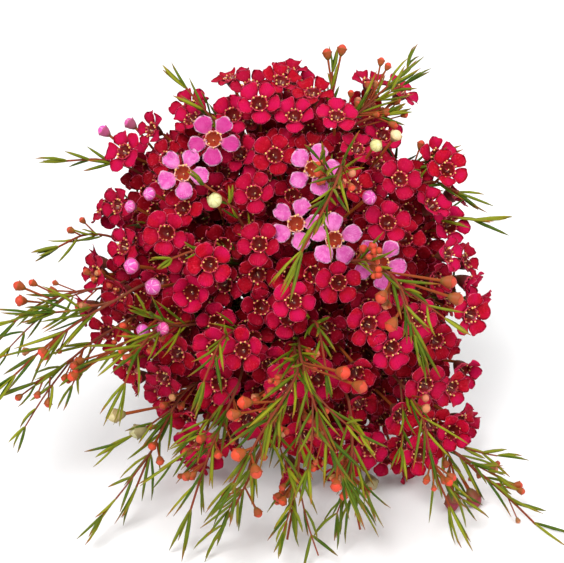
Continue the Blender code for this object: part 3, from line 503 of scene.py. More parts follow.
# The plan of the whole stem: routes of its twigs, and places of its blooms, buds and leaves
class Plant:
    def __init__(self):
        self.chance = random.Random(seed)
        self.crowd = Crowd()
        full = ((0.52, bloomSizes["petalHalfWidths"][0]), (1.0, bloomSizes["petalHalfWidths"][1]))
        short = ((1.0, 0.33),)
        self.blooms = {
            "open": coarseBloom(bloomSizes["radius"], math.radians(14), full),
            "cupped": coarseBloom(bloomSizes["radius"] * 0.97, math.radians(32), full),
            "pale": coarseBloom(bloomSizes["paleRadius"], math.radians(8), full),
            "deep": coarseBloom(bloomSizes["radius"] * 0.93, math.radians(22), short, False),
        }
        self.leaf = coarseLeaf()
        foot = Vector((headCentre.x, headCentre.y, 0))
        self.stem = smoothRoute([foot + Vector((x, y, z)) * mm for y, x, z, _ in stemSizes["route"]], 15)
        ends = [stemSizes["route"][i][3] * mm for i in (0, -1)]
        self.crowd.add(*prism(self.stem, ends, 8), ("main_stem", "twig"))
        self.branches = []
        self.twigs = []
        self.planBranches()
        self.planFeet()
        self.planBloomsAt("pale", bloomPlaces["pale"], 0.9)
        self.planShoots()
        self.planRoundBuds()
        self.planBloomsAt("open", bloomPlaces["front"], 0.5)
        self.planBlooms()
        self.planLeaves()

    def stemRadius(self, share):
        radii = [r * mm for _, _, _, r in stemSizes["route"]]
        place = share * (len(radii) - 1)
        i = min(int(place), len(radii) - 2)
        return radii[i] + (radii[i + 1] - radii[i]) * (place - i)

    def planBranches(self):
        inset, lowest = branchSizes["twigInset"], branchSizes["twigLowest"]
        twigs = evenDirections(branchSizes["twigs"], branchSizes["twigWidest"], 0.6)
        twigs = [twig for twig in twigs if dome(*twig, inset)[0].z > lowest]
        heads = [(0.0, 0.0), *evenDirections(branchSizes["branches"], branchSizes["widest"], 2.2)[1:]]
        groups = [[] for _ in heads]
        for twig in twigs:
            nearest = max(range(len(heads)), key=lambda j: ray(*heads[j]).dot(ray(*twig)))
            groups[nearest].append(twig)
        for head, group in zip(heads, groups):
            if group:
                group.sort(key=lambda twig: -ray(*head).dot(ray(*twig)))
                self.planBranch(head, group)

    # Where a branch leaves the stem, and the stem's heading there
    def branchStart(self, polar):
        share = 1 - (1 - stemSizes["branchingFrom"]) * (polar / branchSizes["widest"]) ** 0.8
        leader = (along(self.stem, min(1, share + 0.03)) - along(self.stem, share - 0.03)).normalized()
        return along(self.stem, share), leader

    def planBranch(self, head, group):
        name = f"branch_{len(self.branches) + 1:02d}"
        fork = headCentre + (dome(*head)[0] - headCentre) * 0.42 - frontWay * (12 * mm)
        if head[0] == 0:
            fork = headCentre + frontWay * (12 * mm)
        start, leader = self.branchStart(head[0])
        branch = {"name": name, "tubes": [], "pieces": []}
        self.branches.append(branch)
        first = None
        for number, (polar, azimuth) in enumerate(group):
            tip, _ = dome(polar, azimuth, branchSizes["twigInset"])
            if first is None:
                bend = start.lerp(fork, 0.5) + leader * (2.5 * mm)
                points, radii = smoothRoute([start, bend, fork, tip], 6), branchSizes["radii"]
                first = points
            else:
                points, radii = self.sideTwig(name, first, tip, number), branchSizes["twigRadii"]
            branch["tubes"].append((points, radii))
            self.crowd.add(*prism(points, radii), (name, "twig"))
            lump = self.chance.uniform(-1, 1) * branchSizes["lump"]
            twig = {"branch": branch, "direction": ray(polar, azimuth), "lump": lump}
            self.twigs.append({**twig, "route": points, "shoots": []})

    # A twig's route from its branch to the dome, from the first place where it is clear
    def sideTwig(self, name, first, tip, number):
        for share in (0.52 - 0.09 * number, 0.62 - 0.09 * number, 0.4 - 0.05 * number, 0.25):
            root = along(first, share)
            heading = (along(first, share + 0.05) - along(first, share - 0.05)).normalized()
            points = smoothRoute([root, root.lerp(tip, 0.4) + heading * (4 * mm), tip], 4)
            tested = prism(points, grownBy(branchSizes["twigRadii"], room["clearance"]))
            if not self.crowd.touches(*tested, skip={(name, "twig")}):
                return points
        print(name, "twig", number, "crosses another branch")
        return points

    # The twigs that point nearest to this way, the nearest first
    def nearestTwigs(self, polar, azimuth):
        return sorted(self.twigs, key=lambda twig: -twig["direction"].dot(ray(polar, azimuth)))[:2]

    # Where on a twig's route a pedicel to this point starts, so that it leaves forward
    def rootOn(self, route, foot, reach=1.1, least=0.3):
        best = min((i / 40 for i in range(41)), key=lambda t: (along(route, t) - foot).length)
        gap = (along(route, best) - foot).length
        return along(route, max(least, min(0.97, best - reach * gap / routeLength(route))))

    # Places a bloom or bud on its twig unless it, or its pedicel, would touch another piece
    def tryFlower(self, shape, place, axis, roll, twig, kind, pressed=False):
        name = twig["branch"]["name"]
        turn = frameTo(axis, roll)
        foot = place - axis * shape.footDepth
        root = self.rootOn(twig["route"], foot)
        heading = (foot - root).normalized()
        if (root - foot).length < 2.5 * mm or heading.angle(axis) > math.radians(80):
            return False
        tested = shape.placed(place, turn, root, room["clearance"])
        if not pressed and min(v.z for v in tested) < -0.3 * mm:
            return False
        if self.crowd.touches(tested, shape.headFaces):
            return False
        tested = shape.placed(place, turn, root + heading * (1.8 * mm), room["clearance"])
        if self.crowd.touches(tested, shape.faces, skip={(name, "twig"), (name, "pedicel")}):
            return False
        verts = shape.placed(place, turn, root - heading * room["sunk"])
        piece = {"kind": kind, "place": place, "axis": axis, "roll": roll, "root": root}
        twig["branch"]["pieces"].append({**piece, "radius": shape.radius})
        self.crowd.add(verts, shape.headFaces, (name, "flower"))
        self.crowd.add(shape.placed(place, turn, root + heading * (0.8 * mm)), shape.faces, (name, "pedicel"))
        return True

    # Places a bloom on one of the two nearest twigs, at one of a few turns
    def tryBloom(self, kind, place, axis, angles):
        for twig in self.nearestTwigs(*angles):
            for turn in range(3):
                roll = self.chance.uniform(0, 0.4) + turn * 0.42
                if self.tryFlower(self.blooms[kind], place, axis, roll, twig, "bloom_" + kind):
                    return True
        return False

    def facing(self, normal, spread=0.22, forward=0.4):
        wander = Vector([self.chance.uniform(-1, 1) for _ in range(3)]) * spread
        return (normal * 0.75 + frontWay * forward + wander).normalized()

    # The dome's point seen at a pixel, moved out along its normal, with that normal and its angles
    def onDomeAt(self, pixelX, pixelY, standOut):
        low, high = -6.0, 60.0
        for _ in range(30):
            middle = (low + high) / 2
            point = seenAt(pixelX, pixelY, middle, -1)
            surface, _ = dome(*domeAngles(point))
            if (point - headCentre).length > (surface - headCentre).length:
                high = middle
            else:
                low = middle
        point = seenAt(pixelX, pixelY, low, -1)
        angles = domeAngles(point)
        _, normal = dome(*angles)
        return point + normal * standOut, normal, angles

    # The blooms and buds that carry the head
    def planFeet(self):
        bloom, bud = self.blooms["cupped"], coarseBud(budPlaces["footRadius"])
        feet = [(pixel, bloom, room["petalPressed"], "bloom_cupped") for pixel in bloomPlaces["foot"]]
        feet += [(pixel, bud, room["budPressed"], "bud_green") for pixel in budPlaces["foot"]]
        for pixel, shape, pressed, kind in feet:
            place = seenAt(*pixel, 0, 8.5 * mm)
            angles = domeAngles(place)
            axis = (dome(*angles)[1] + frontWay * 0.5).normalized()
            verts = shape.placed(place, frameTo(axis, 0.3))
            lowest = min(v.z for i, v in enumerate(verts) if i not in shape.ring)
            place = place - Vector((0, 0, lowest + pressed))
            for twig in self.nearestTwigs(*angles):
                if self.tryFlower(shape, place, axis, 0.3, twig, kind, True):
                    break
            else:
                print("foot left out", pixel)

    # Blooms at places seen in the photograph, or as near as there is room
    def planBloomsAt(self, kind, blooms, forward):
        for pixelX, pixelY, standOut in blooms:
            for attempt in range(36):
                aside = 0.35 * attempt
                x, y = pixelX + aside * math.cos(attempt * 2.4), pixelY + aside * math.sin(attempt * 2.4)
                place, normal, angles = self.onDomeAt(x, y, (standOut - attempt % 4 * 0.8) * mm)
                if self.tryBloom(kind, place, self.facing(normal, 0.12, forward), angles):
                    break
            else:
                print(kind, "bloom left out", pixelX, pixelY)

    def planRoundBuds(self):
        for pixelX, pixelY, standOut, radius, colour in budPlaces["round"]:
            shape = coarseBud(radius * mm)
            for attempt in range(36):
                x = pixelX + self.chance.uniform(-0.2, 0.2) * attempt
                y = pixelY + self.chance.uniform(-0.2, 0.2) * attempt
                place, normal, angles = self.onDomeAt(x, y, (standOut + attempt // 6 * 0.6) * mm)
                twig = self.nearestTwigs(*angles)[attempt % 2]
                axis = self.facing(normal, 0.2, 0.3)
                if self.tryFlower(shape, place, axis, 0, twig, "bud_" + colour):
                    break
            else:
                print("round bud left out", pixelX, pixelY)

    # Fills the dome, then the gaps that show between its blooms, one layer behind another
    def planBlooms(self):
        for layer, (shallow, deep, widest, wanted) in enumerate(bloomSizes["layers"]):
            placed = 0
            for _ in range(3000):
                polar = math.acos(self.chance.uniform(math.cos(math.radians(widest)), 1))
                azimuth = self.chance.uniform(-math.pi, math.pi)
                lump = self.nearestTwigs(polar, azimuth)[0]["lump"]
                place, normal = dome(polar, azimuth, self.chance.uniform(shallow, deep) * mm - lump)
                if layer and not self.shows(place, normal):
                    continue
                kind = "cupped" if self.chance.random() < 0.3 else "open"
                if layer or polar > bloomSizes["simpleFrom"]:
                    kind = "deep"
                placed += self.tryBloom(kind, place, self.facing(normal), (polar, azimuth))
                if placed == wanted:
                    break
            print("layer", layer, "blooms", placed)

    # Whether most of a bloom at this place would be seen between those in front of it
    def shows(self, place, normal):
        toward = (frontWay + normal * 0.4).normalized()
        turn = frameTo(toward)
        around = [turn @ Vector((math.cos(k * 1.57), math.sin(k * 1.57), 0.2)) * (5 * mm) for k in range(4)]
        return sum(not self.crowd.hides(place + step, toward) for step in (*around, toward * mm)) >= 3

    def planShoots(self):
        for name, pixels, leafyFrom, leafMm, buds in shootSizes["routes"]:
            for nudge in range(10):
                route = [seenAt(x, y, front + nudge * 2) for x, y, front in pixels]
                twig = self.nearestTwigs(*domeAngles(route[0]))[nudge % 2]
                own = {(twig["branch"]["name"], "twig")}
                root = self.rootOn(twig["route"], route[0], 0.9, 0.25)
                heading = (route[0] - root).normalized()
                points = smoothRoute([root, root.lerp(route[0], 0.5), *route], 5 if len(route) < 4 else 6)
                tested = [root + heading * (1.5 * mm), *points[1:]]
                surface = prism(tested, grownBy(shootSizes["radii"], room["clearance"]))
                if not self.crowd.touches(*surface, skip=own):
                    break
            else:
                print("shoot", name, "left out")
                continue
            branch = twig["branch"]
            branch["tubes"].append((points, shootSizes["radii"]))
            self.crowd.add(*prism(tested, shootSizes["radii"]), (branch["name"], "twig"))
            shoot = {"name": name, "branch": branch, "points": points, "leafyFrom": leafyFrom}
            shoot["leaf"] = leafMm * mm
            twig["shoots"].append(shoot)
            for x, y, front, radius, *colour in buds:
                place = seenAt(x, y, front + nudge * 2, (radius + 0.4) * mm)
                self.shootBud(shoot, place, radius * mm, *(colour or ["orange"]))

    def shootBud(self, shoot, place, radius, colour):
        branch, points = shoot["branch"], shoot["points"]
        own = {(branch["name"], "twig")}
        shape = coarseBud(radius)
        for attempt in range(8):
            root = self.rootOn(points, place, 0.8 + 0.25 * attempt, 0.3)
            axis = (place - root).normalized()
            if (place - axis * 1.5 * radius - root).dot(axis) < 1 * mm:
                continue
            turn = frameTo(axis)
            tested = shape.placed(place, turn, root + axis * (1.4 * mm), room["clearance"])
            if self.crowd.touches(tested, shape.faces, skip=own):
                continue
            piece = {"kind": "bud_" + colour, "place": place, "axis": axis, "root": root, "radius": radius}
            branch["pieces"].append(piece)
            tested = shape.placed(place, turn, root + axis * mm)
            self.crowd.add(tested, shape.faces, (branch["name"], "flower"))
            return
        print("bud left out", shoot["name"])

    def planLeaves(self):
        for twig in self.twigs:
            for shoot in twig["shoots"]:
                self.shootLeaves(shoot)
        for twig in self.twigs:
            if twig["direction"].z < 0.3:
                base, heading = along(twig["route"], 0.45), twig["route"][2] - twig["route"][1]
                roll = self.chance.uniform(0, math.pi)
                self.leafPair(twig["branch"], base, heading.normalized(), roll, 16 * mm, math.radians(36), 1)

    def shootLeaves(self, shoot):
        points = shoot["points"]
        first = 0.3 + 0.7 * shoot["leafyFrom"]
        count = max(2, round(routeLength(points) * (1 - first) / leafSizes["spacing"]))
        turn = self.chance.uniform(0, math.pi)
        for i in range(count):
            last = i == count - 1
            share = 0.985 if last else first + (1 - first) * (i + 0.4) / count
            heading = (along(points, min(1, share + 0.03)) - along(points, share - 0.04)).normalized()
            size = shoot["leaf"] * self.chance.uniform(0.85, 1.1)
            tilt = math.radians(self.chance.uniform(10, 16) if last else self.chance.uniform(24, 34))
            base = along(points, share)
            self.leafPair(shoot["branch"], base, heading, turn + i * math.pi / 2, size, tilt, 2)

    # Leaves at one point of a twig, opposite each other, each left out if it would touch a neighbour
    def leafPair(self, branch, base, heading, roll, size, tilt, wanted):
        across = frameTo(heading, roll)
        for side in range(wanted):
            out = across @ Vector((1 - 2 * side, 0, 0))
            for attempt in range(4):
                lean = tilt * (1 - 0.22 * attempt)
                direction = leaned(heading, out, lean)
                if (base + direction * size).z < room["lowest"]:
                    direction.z = (room["lowest"] - base.z) / size
                    direction.normalize()
                verts = self.leafAt(base, direction, size)
                wide = self.leafAt(base + direction * (1.6 * mm), direction, size, room["clearance"])
                own = {(branch["name"], "twig")}
                clear = min(v.z for v in verts) > 0.05 * mm
                if clear and not self.crowd.touches(wide, self.leaf.faces, skip=own):
                    branch["pieces"].append({"kind": "leaf", "base": base, "axis": direction, "size": size})
                    tested = self.leafAt(base + direction * mm, direction, size)
                    self.crowd.add(tested, self.leaf.faces, (branch["name"], "leaf"))
                    break

    def leafAt(self, base, direction, size, grow=0.0):
        turn = frameTo(direction)
        width = leafSizes["halfWidth"] + grow
        return [base + turn @ Vector((p.x * width, p.y * width, p.z * size)) for p in self.leaf.points]


plan = Plant()
print("planned", sum(len(branch["pieces"]) for branch in plan.branches), "blooms, buds and leaves")

chance = random.Random(23)  # for the looks alone


# Writes a number or a vector on each point of a mesh
def marked(mesh, attribute, values, kind="FLOAT"):
    layer = mesh.attributes.new(attribute, kind, "POINT")
    if kind == "FLOAT_VECTOR":
        layer.data.foreach_set("vector", [number for value in values for number in value])
    else:
        layer.data.foreach_set("value", values)


# A smooth mesh from points and faces, with an attribute on its points
def meshOf(name, points, faces, attribute, values, kind="FLOAT_VECTOR"):
    mesh = bpy.data.meshes.new(name)
    mesh.from_pydata([tuple(p) for p in points], [], faces)
    marked(mesh, attribute, values, kind)
    mesh.shade_smooth()
    return mesh


def inScene(name, data):
    obj = bpy.data.objects.new(name, data)
    bpy.context.scene.collection.objects.link(obj)
    return obj


class MeshParts:  # several small shapes gathered in one mesh, with a "mark" on each point
    def __init__(self):
        self.points, self.faces, self.marks = [], [], []

    def add(self, points, faces, marks):
        first = len(self.points)
        self.points += [Vector(p) for p in points]
        self.faces += [[first + i for i in face] for face in faces]
        self.marks += marks

    def mesh(self, name):
        return meshOf(name, self.points, self.faces, "mark", self.marks)


# A closed surface of revolution: each ring gives radius, height and its mark; ends of radius 0 close
def turned(rings, sides, ripple=None):
    points, faces, marks = [], [], []
    rows = []
    for radius, height, mark in rings:
        if radius == 0:
            rows.append([len(points)])
            points.append(Vector((0, 0, height)))
            marks.append(mark)
            continue
        row = []
        for k in range(sides):
            angle = 2 * math.pi * k / sides
            r, z = ripple(k, angle, radius, height) if ripple else (radius, height)
            row.append(len(points))
            points.append(Vector((r * math.cos(angle), r * math.sin(angle), z)))
            marks.append(mark)
        rows.append(row)
    for low, high in zip(rows, rows[1:]):
        for k in range(sides):
            n = (k + 1) % sides
            if len(low) == 1:
                faces.append([low[0], high[n], high[k]])
            elif len(high) == 1:
                faces.append([low[k], low[n], high[0]])
            else:
                faces.append([low[k], low[n], high[n], high[k]])
    return points, faces, marks


# A tube with the mark of each of its rows
def thread(points, radii, sides, marks):
    return *tubeAlong(points, radii, sides), [mark for mark in marks for _ in range(sides)]


# A small ball of eight or twenty faces
def bead(centre, radius, mark, fine=False):
    bm = bmesh.new()
    if fine:
        bmesh.ops.create_icosphere(bm, subdivisions=1, radius=radius)
    else:
        bmesh.ops.create_uvsphere(bm, u_segments=5, v_segments=4, radius=radius)
    points = [centre + v.co for v in bm.verts]
    bm.verts.index_update()
    faces = [[v.index for v in f.verts] for f in bm.faces]
    bm.free()
    return points, faces, [mark] * len(points)


petalLooks = {
    "steps": 6,  # faces across and along a petal in front
    "stepsBehind": 5,
    "thickness": 0.22 * mm,
    "reach": (0.92, 1.03),  # of the bloom's own, as are the widths
    "widths": (0.84, 1.08),
    "leans": (-12, 15),  # degrees from the bloom's own
    "astray": 0.06,  # angle from its even place round the cup
    "clawEnd": 0.6,  # share of its length where it has widened
    "twist": 0.5 * mm,
    "notching": 0.022,
    "ruffle": 0.40 * mm,
    "hollow": 0.95 * mm,  # how far its sides stand above its middle
    "crease": (0.25 * mm, 0.16),  # along its middle: depth, and half width as a share of the petal's
    "jitter": {"open": 0.15, "cupped": 0.2, "deep": 0.24, "pale": 0.1},  # lean from the plan's own axis
}


# One petal: a disc of faces stretched from the cup to the tip along the plan's own curve
def petal(parts, angle, radius, lift, width, wild, claw, steps):
    looks = petalLooks
    out = Vector((math.cos(angle), math.sin(angle), 0))
    side = Vector((-out.y, out.x, 0))
    base = bloomSizes["cupRim"] * math.cos(math.pi / 5)
    reach = (radius - base) * chance.uniform(*looks["reach"])
    twist = chance.uniform(-1, 1) * looks["twist"] * wild
    phases = [chance.uniform(0, 6.28) for _ in range(4)]
    notch = looks["notching"] * wild
    ruffle = looks["ruffle"] * wild
    creaseDepth, creaseWidth = looks["crease"]
    top, marks, edge = [], [], []
    for j in range(steps + 1):
        for i in range(steps + 1):
            a, b = 2 * i / steps - 1, 2 * j / steps - 1
            x, y = a * math.sqrt(1 - b * b / 2), b * math.sqrt(1 - a * a / 2)
            rim = max(abs(a), abs(b))
            turn = math.atan2(y, x)
            lobes = math.sin(5 * turn + phases[0]) + 0.7 * math.sin(9 * turn + phases[1])
            uneven = 1 + notch * rim**3 * lobes
            x, y = x * uneven, y * uneven
            t = (y + 1) / 2
            narrow = claw + (1 - claw) * min(1, max(0, t / looks["clawEnd"])) ** 0.8
            half = x * width * narrow
            share = -0.03 + 1.03 * t
            bend = lift * (1.5 - 0.7 * share)
            run, rise = math.cos(bend) * reach * share, math.sin(bend) * reach * share
            hollow = looks["hollow"] * x * x * (0.4 + t)
            wave = ruffle * rim**2 * math.sin(3 * turn + phases[2])
            wave += 0.4 * ruffle * math.sin(7 * turn + phases[3]) * rim
            crease = -creaseDepth * math.exp(-((x / creaseWidth) ** 2)) * (1 - t)
            z = rise + hollow + wave + crease + twist * x * t - 0.1 * mm
            top.append(out * (base + run) + side * half + Vector((0, 0, z)))
            marks.append((x, t, rim))
            edge.append(rim > 0.999)
    count = steps + 1
    points, tags = list(top), list(marks)
    below = {}
    for k, point in enumerate(top):
        if edge[k]:
            below[k] = k
        else:
            below[k] = len(points)
            points.append(point - Vector((0, 0, looks["thickness"])))
            tags.append(marks[k])
    faces = []
    for j in range(steps):
        for i in range(steps):
            a, b = j * count + i, j * count + i + 1
            faces.append([b, b + count, a + count, a])
            faces.append([below[a], below[a + count], below[b + count], below[b]])
    parts.add(points, faces, tags)


# The five petals of one bloom; the claw is a petal's width at the cup, as a share of its widest
def corolla(name, radius, lift, widthShare, wild, claw, steps):
    parts = MeshParts()
    looks = petalLooks
    for k in range(5):
        angle = -math.pi / 2 + k * 2 * math.pi / 5 + chance.uniform(-1, 1) * looks["astray"]
        width = radius * widthShare * chance.uniform(*looks["widths"])
        lean = lift + math.radians(chance.uniform(*looks["leans"]))
        petal(parts, angle, radius, lean, width, wild, claw, steps)
    return parts.mesh(name)


centreLooks = {
    "teeth": 10,
    "toothHeight": 0.75 * mm,
    "stamens": 10,
    "filamentRadii": (0.15 * mm, 0.12 * mm, 0.09 * mm),
    "antherRadius": 0.40 * mm,
    "antherHeight": 1.0 * mm,
    "styleHeight": 0.5 * mm,
    "styleRadii": (0.2 * mm, 0.15 * mm, 0.14 * mm),
    "styleTip": 0.24 * mm,
}


# The cup of a bloom, ribbed outside and dark inside; mark = (height, inside, tooth)
def cup(name):
    rim, foot = bloomSizes["cupRim"], bloomSizes["cupFoot"]
    low = -bloomSizes["rimDepth"] - bloomSizes["cupDepth"]
    pit = -bloomSizes["cupRecess"]
    looks = centreLooks
    unribbed = (pit * 0.45, pit * 0.8)  # the rings deeper inside

    def ripple(k, angle, radius, height):
        if height > -0.01 * mm:
            tall = k % 2 == 0
            return radius * (1.05 if tall else 0.98), height + (looks["toothHeight"] if tall else 0)
        if radius > 0.9 * mm and height < -0.3 * mm and height not in unribbed:
            return radius * (1.04 if k % 2 else 0.97), height
        return radius, height

    rings = [
        (0, low, (0, 0, 0)),
        (foot * 0.75, low, (0, 0, 0)),
        (foot * 1.3, low + 0.5 * mm, (0.1, 0, 0)),
        (rim * 0.62, low + 1.9 * mm, (0.35, 0, 0)),
        (rim * 0.85, low + 3.5 * mm, (0.65, 0, 0)),
        (rim * 0.97, -0.7 * mm, (0.88, 0, 0)),
        (rim * 1.02, 0.05 * mm, (1, 0.4, 1)),
        (rim * 0.93, 0.0, (1, 0.7, 0.6)),
        (rim * 0.86, -0.35 * mm, (0.9, 1, 0)),
        (rim * 0.72, unribbed[0], (0.7, 1, 0)),
        (rim * 0.45, unribbed[1], (0.4, 1, 0)),
        (rim * 0.16, pit, (0.1, 1, 0)),
        (0, pit, (0, 1, 0)),
    ]
    points, faces, marks = turned(rings, looks["teeth"] * 2, ripple)
    return meshOf(name, points, faces, "mark", marks)


# Stamens round the rim and the style in the middle; mark = (along or ripeness, anther, style)
def stamens(name):
    parts = MeshParts()
    looks = centreLooks
    rim = bloomSizes["cupRim"]
    for k in range(looks["stamens"]):
        angle = 2 * math.pi * (k + 0.5) / looks["stamens"] + chance.uniform(-0.2, 0.2)
        out = Vector((math.cos(angle), math.sin(angle), 0))
        high = looks["antherHeight"] * chance.uniform(0.5, 1.25)
        tip = out * (rim * chance.uniform(0.76, 1.1)) + Vector((0, 0, high))
        bend = out * rim * 1.1 + Vector((0, 0, high * 0.5))
        path = [out * rim * 0.93 - Vector((0, 0, 0.2 * mm)), bend, tip]
        parts.add(*thread(path, looks["filamentRadii"], 3, [(0, 0, 0), (0.5, 0, 0), (1, 0, 0)]))
        parts.add(*bead(tip, looks["antherRadius"] * chance.uniform(0.8, 1.15), (chance.random(), 1, 0)))
    lean = Vector((chance.uniform(-0.5, 0.5), chance.uniform(-0.5, 0.5), 0)) * mm
    foot = Vector((0, 0, -bloomSizes["cupRecess"]))
    top = lean + Vector((0, 0, looks["styleHeight"]))
    path = [foot, foot.lerp(top, 0.5) + lean * 0.2, top]
    parts.add(*thread(path, looks["styleRadii"], 5, [(0, 0, 1), (0.5, 0, 1), (1, 0, 1)]))
    parts.add(*bead(top, looks["styleTip"], (1, 0.6, 1), True))
    return parts.mesh(name)


budLooks = {
    "sides": 15,
    "rows": 7,
    "petalSeams": 5,
    "calyxLip": 1.10,
    "girth": 0.96,
    "height": 0.9,
    "shown": 0.62,  # how much of its half turn from the top stands out of the calyx
}


# A closed bud of unit radius on its ribbed cup: mark = (height, seam, cup or petals)
def budMesh(name, pointed):
    sides, rows = budLooks["sides"], budLooks["rows"]
    girth, height = budLooks["girth"], budLooks["height"]
    parts = MeshParts()
    cupRings = [
        (0, -1.5, (0, 0, 0)),
        (0.24, -1.5, (0, 0, 0)),
        (0.5, -1.2, (0.2, 0, 0)),
        (0.82, -0.62, (0.5, 0, 0)),
        (0.97, -0.12, (0.85, 0, 0)),
        (budLooks["calyxLip"], 0.1, (1, 0, 0)),
        (0.93, 0.12, (1, 0, 0)),
        (0.8, -0.2, (0.8, 0, 0)),
        (0, -0.3, (0.6, 0, 0)),
    ]

    def ribs(k, angle, radius, level):
        lobe = 0.12 * math.cos(5 * angle) if level > 0.05 else 0
        return radius * (1 + 0.03 * math.cos(10 * angle)), level + lobe

    parts.add(*turned(cupRings, sides, ribs))
    points, marks = [], []
    for row in range(rows):
        polar = math.pi * (budLooks["shown"] - budLooks["shown"] * row / rows)
        for k in range(sides):
            angle = 2 * math.pi * k / sides
            seam = abs((angle * budLooks["petalSeams"] / (2 * math.pi)) % 1 - 0.5) * 2
            radius = girth * (1 - 0.05 * (seam > 0.8))
            tip = 1 + pointed * max(0, math.cos(polar)) ** 3
            x, y = radius * math.sin(polar) * math.cos(angle), radius * math.sin(polar) * math.sin(angle)
            points.append(Vector((x, y, height * radius * math.cos(polar) * tip)))
            marks.append((row / rows, seam, 1))
    faces = tubeFaces(rows, sides, False)
    points += [Vector((0, 0, height * girth * (1 + pointed))), Vector((0, 0, -0.25))]
    marks += [(1, 0.6, 1), (0, 0, 1)]
    last, top, low = (rows - 1) * sides, rows * sides, rows * sides + 1
    for k in range(sides):
        n = (k + 1) % sides
        faces.append([last + k, last + n, top])
        faces.append([n, k, low])
    parts.add(points, faces, marks)
    return parts.mesh(name)


needleLooks = {"halfWidth": 0.62 * mm, "sides": 4, "curves": (-2.2, -0.9, 0.6, 1.8)}


# A needle of unit length and half width, a little curved: mark = (across, along, 0)
def needle(name, curve):
    sides = needleLooks["sides"]
    stops = ((0, 0.35), (0.12, 0.8), (0.45, 1.0), (0.8, 0.72), (1, 0.12))
    points, marks = [], []
    for share, half in stops:
        for k in range(sides):
            angle = 2 * math.pi * k / sides
            x = math.cos(angle) * half
            y = math.sin(angle) * half * (0.75 if k == 1 else 0.9)
            bend = curve * (share - share * share) * 4 + curve * share * share * 1.5
            points.append(Vector((x, y + bend, share)))
            marks.append((math.sin(angle), share, 0))
    return meshOf(name, points, tubeFaces(len(stops), sides), "mark", marks)


# A collection of shapes to scatter, numbered in the order of their names
def shapeSet(name, meshes):
    store = bpy.data.collections.new(name)
    for i, mesh in enumerate(meshes):
        store.objects.link(bpy.data.objects.new(f"{name}{i:02d}", mesh))
    return store


# Corollas of each kind: reach, lifts of the petals in degrees, petal width, wildness, claw, steps
bloomReach = bloomSizes["radius"]
front, behind = petalLooks["steps"], petalLooks["stepsBehind"]
corollaLooks = {
    "open": (bloomReach * 1.03, (8, 12, 15, 18, 22, 28), 0.435, 1.2, 0.62, front),
    "cupped": (bloomReach * 1.02, (30, 36, 42, 50), 0.43, 1.2, 0.62, front),
    "deep": (bloomReach, (12, 17, 22, 28, 34, 42), 0.425, 1.3, 0.62, behind),
    "pale": (bloomSizes["paleRadius"] * 1.04, (10, 10, 10, 10), 0.36, 1.9, 0.42, front),
}
corollaMeshes, firstOf = [], {}
for kind, (reach, lifts, *rest) in corollaLooks.items():
    firstOf[kind] = (len(corollaMeshes), len(lifts))
    corollaMeshes += [corolla(kind, reach, math.radians(lift), *rest) for lift in lifts]
corollas = shapeSet("corolla", corollaMeshes)
cups = shapeSet("cup", [cup("cup")])
stamenSets = shapeSet("stamen", [stamens("stamen") for _ in range(4)])
buds = shapeSet("bud", [budMesh("bud", pointed) for pointed in (0.0, 0.12, 0.3)])
needles = shapeSet("needle", [needle("needle", curve) for curve in needleLooks["curves"]])
print("shapes ready")


class GeoTree:  # a small helper to write node trees
    def __init__(self, name, inputs):
        self.tree = bpy.data.node_groups.new(name, "GeometryNodeTree")
        face = self.tree.interface
        face.new_socket("Geometry", in_out="INPUT", socket_type="NodeSocketGeometry")
        face.new_socket("Geometry", in_out="OUTPUT", socket_type="NodeSocketGeometry")
        self.keys = {}
        for label, kind in inputs:
            self.keys[label] = face.new_socket(label, in_out="INPUT", socket_type=kind).identifier
        self.start = self.node("NodeGroupInput")
        self.end = self.node("NodeGroupOutput")

    def node(self, kind, settings=None, **values):
        made = self.tree.nodes.new(kind)
        for key, value in (settings or {}).items():
            setattr(made, key, value)
        for key, value in values.items():
            self.feed(made.inputs[key.replace("_", " ")], value)
        return made

    def feed(self, socket, value):
        if isinstance(value, bpy.types.NodeSocket):
            self.tree.links.new(value, socket)
        else:
            socket.default_value = value

    def given(self, label):
        return self.start.outputs[label]

    def close(self, geometry):  # ends in plain geometry with its finish
        real = self.node("GeometryNodeRealizeInstances", Geometry=geometry)
        solid = real.outputs["Geometry"]
        finish = self.node("GeometryNodeSetMaterial", Geometry=solid, Material=self.given("Finish"))
        self.feed(self.end.inputs["Geometry"], finish.outputs["Geometry"])

    def named(self, name, kind):
        made = self.node("GeometryNodeInputNamedAttribute", {"data_type": kind})
        made.inputs["Name"].default_value = name
        return made.outputs["Attribute"]


# Puts one of the shapes at each point: turn, size, which shape and tone are attributes of the points
def makeScatterTree():
    geo = GeoTree("scatterShapes", (("Shapes", "NodeSocketCollection"), ("Finish", "NodeSocketMaterial")))
    shapes = geo.node("GeometryNodeCollectionInfo", Collection=geo.given("Shapes"))
    shapes.inputs["Separate Children"].default_value = True
    shapes.inputs["Reset Children"].default_value = True
    spread = geo.node("GeometryNodeInstanceOnPoints", Points=geo.given("Geometry"))
    geo.feed(spread.inputs["Instance"], shapes.outputs["Instances"])
    spread.inputs["Pick Instance"].default_value = True
    geo.feed(spread.inputs["Instance Index"], geo.named("which", "INT"))
    geo.feed(spread.inputs["Rotation"], geo.named("turn", "FLOAT_VECTOR"))
    geo.feed(spread.inputs["Scale"], geo.named("size", "FLOAT_VECTOR"))
    geo.close(spread.outputs["Instances"])
    return geo


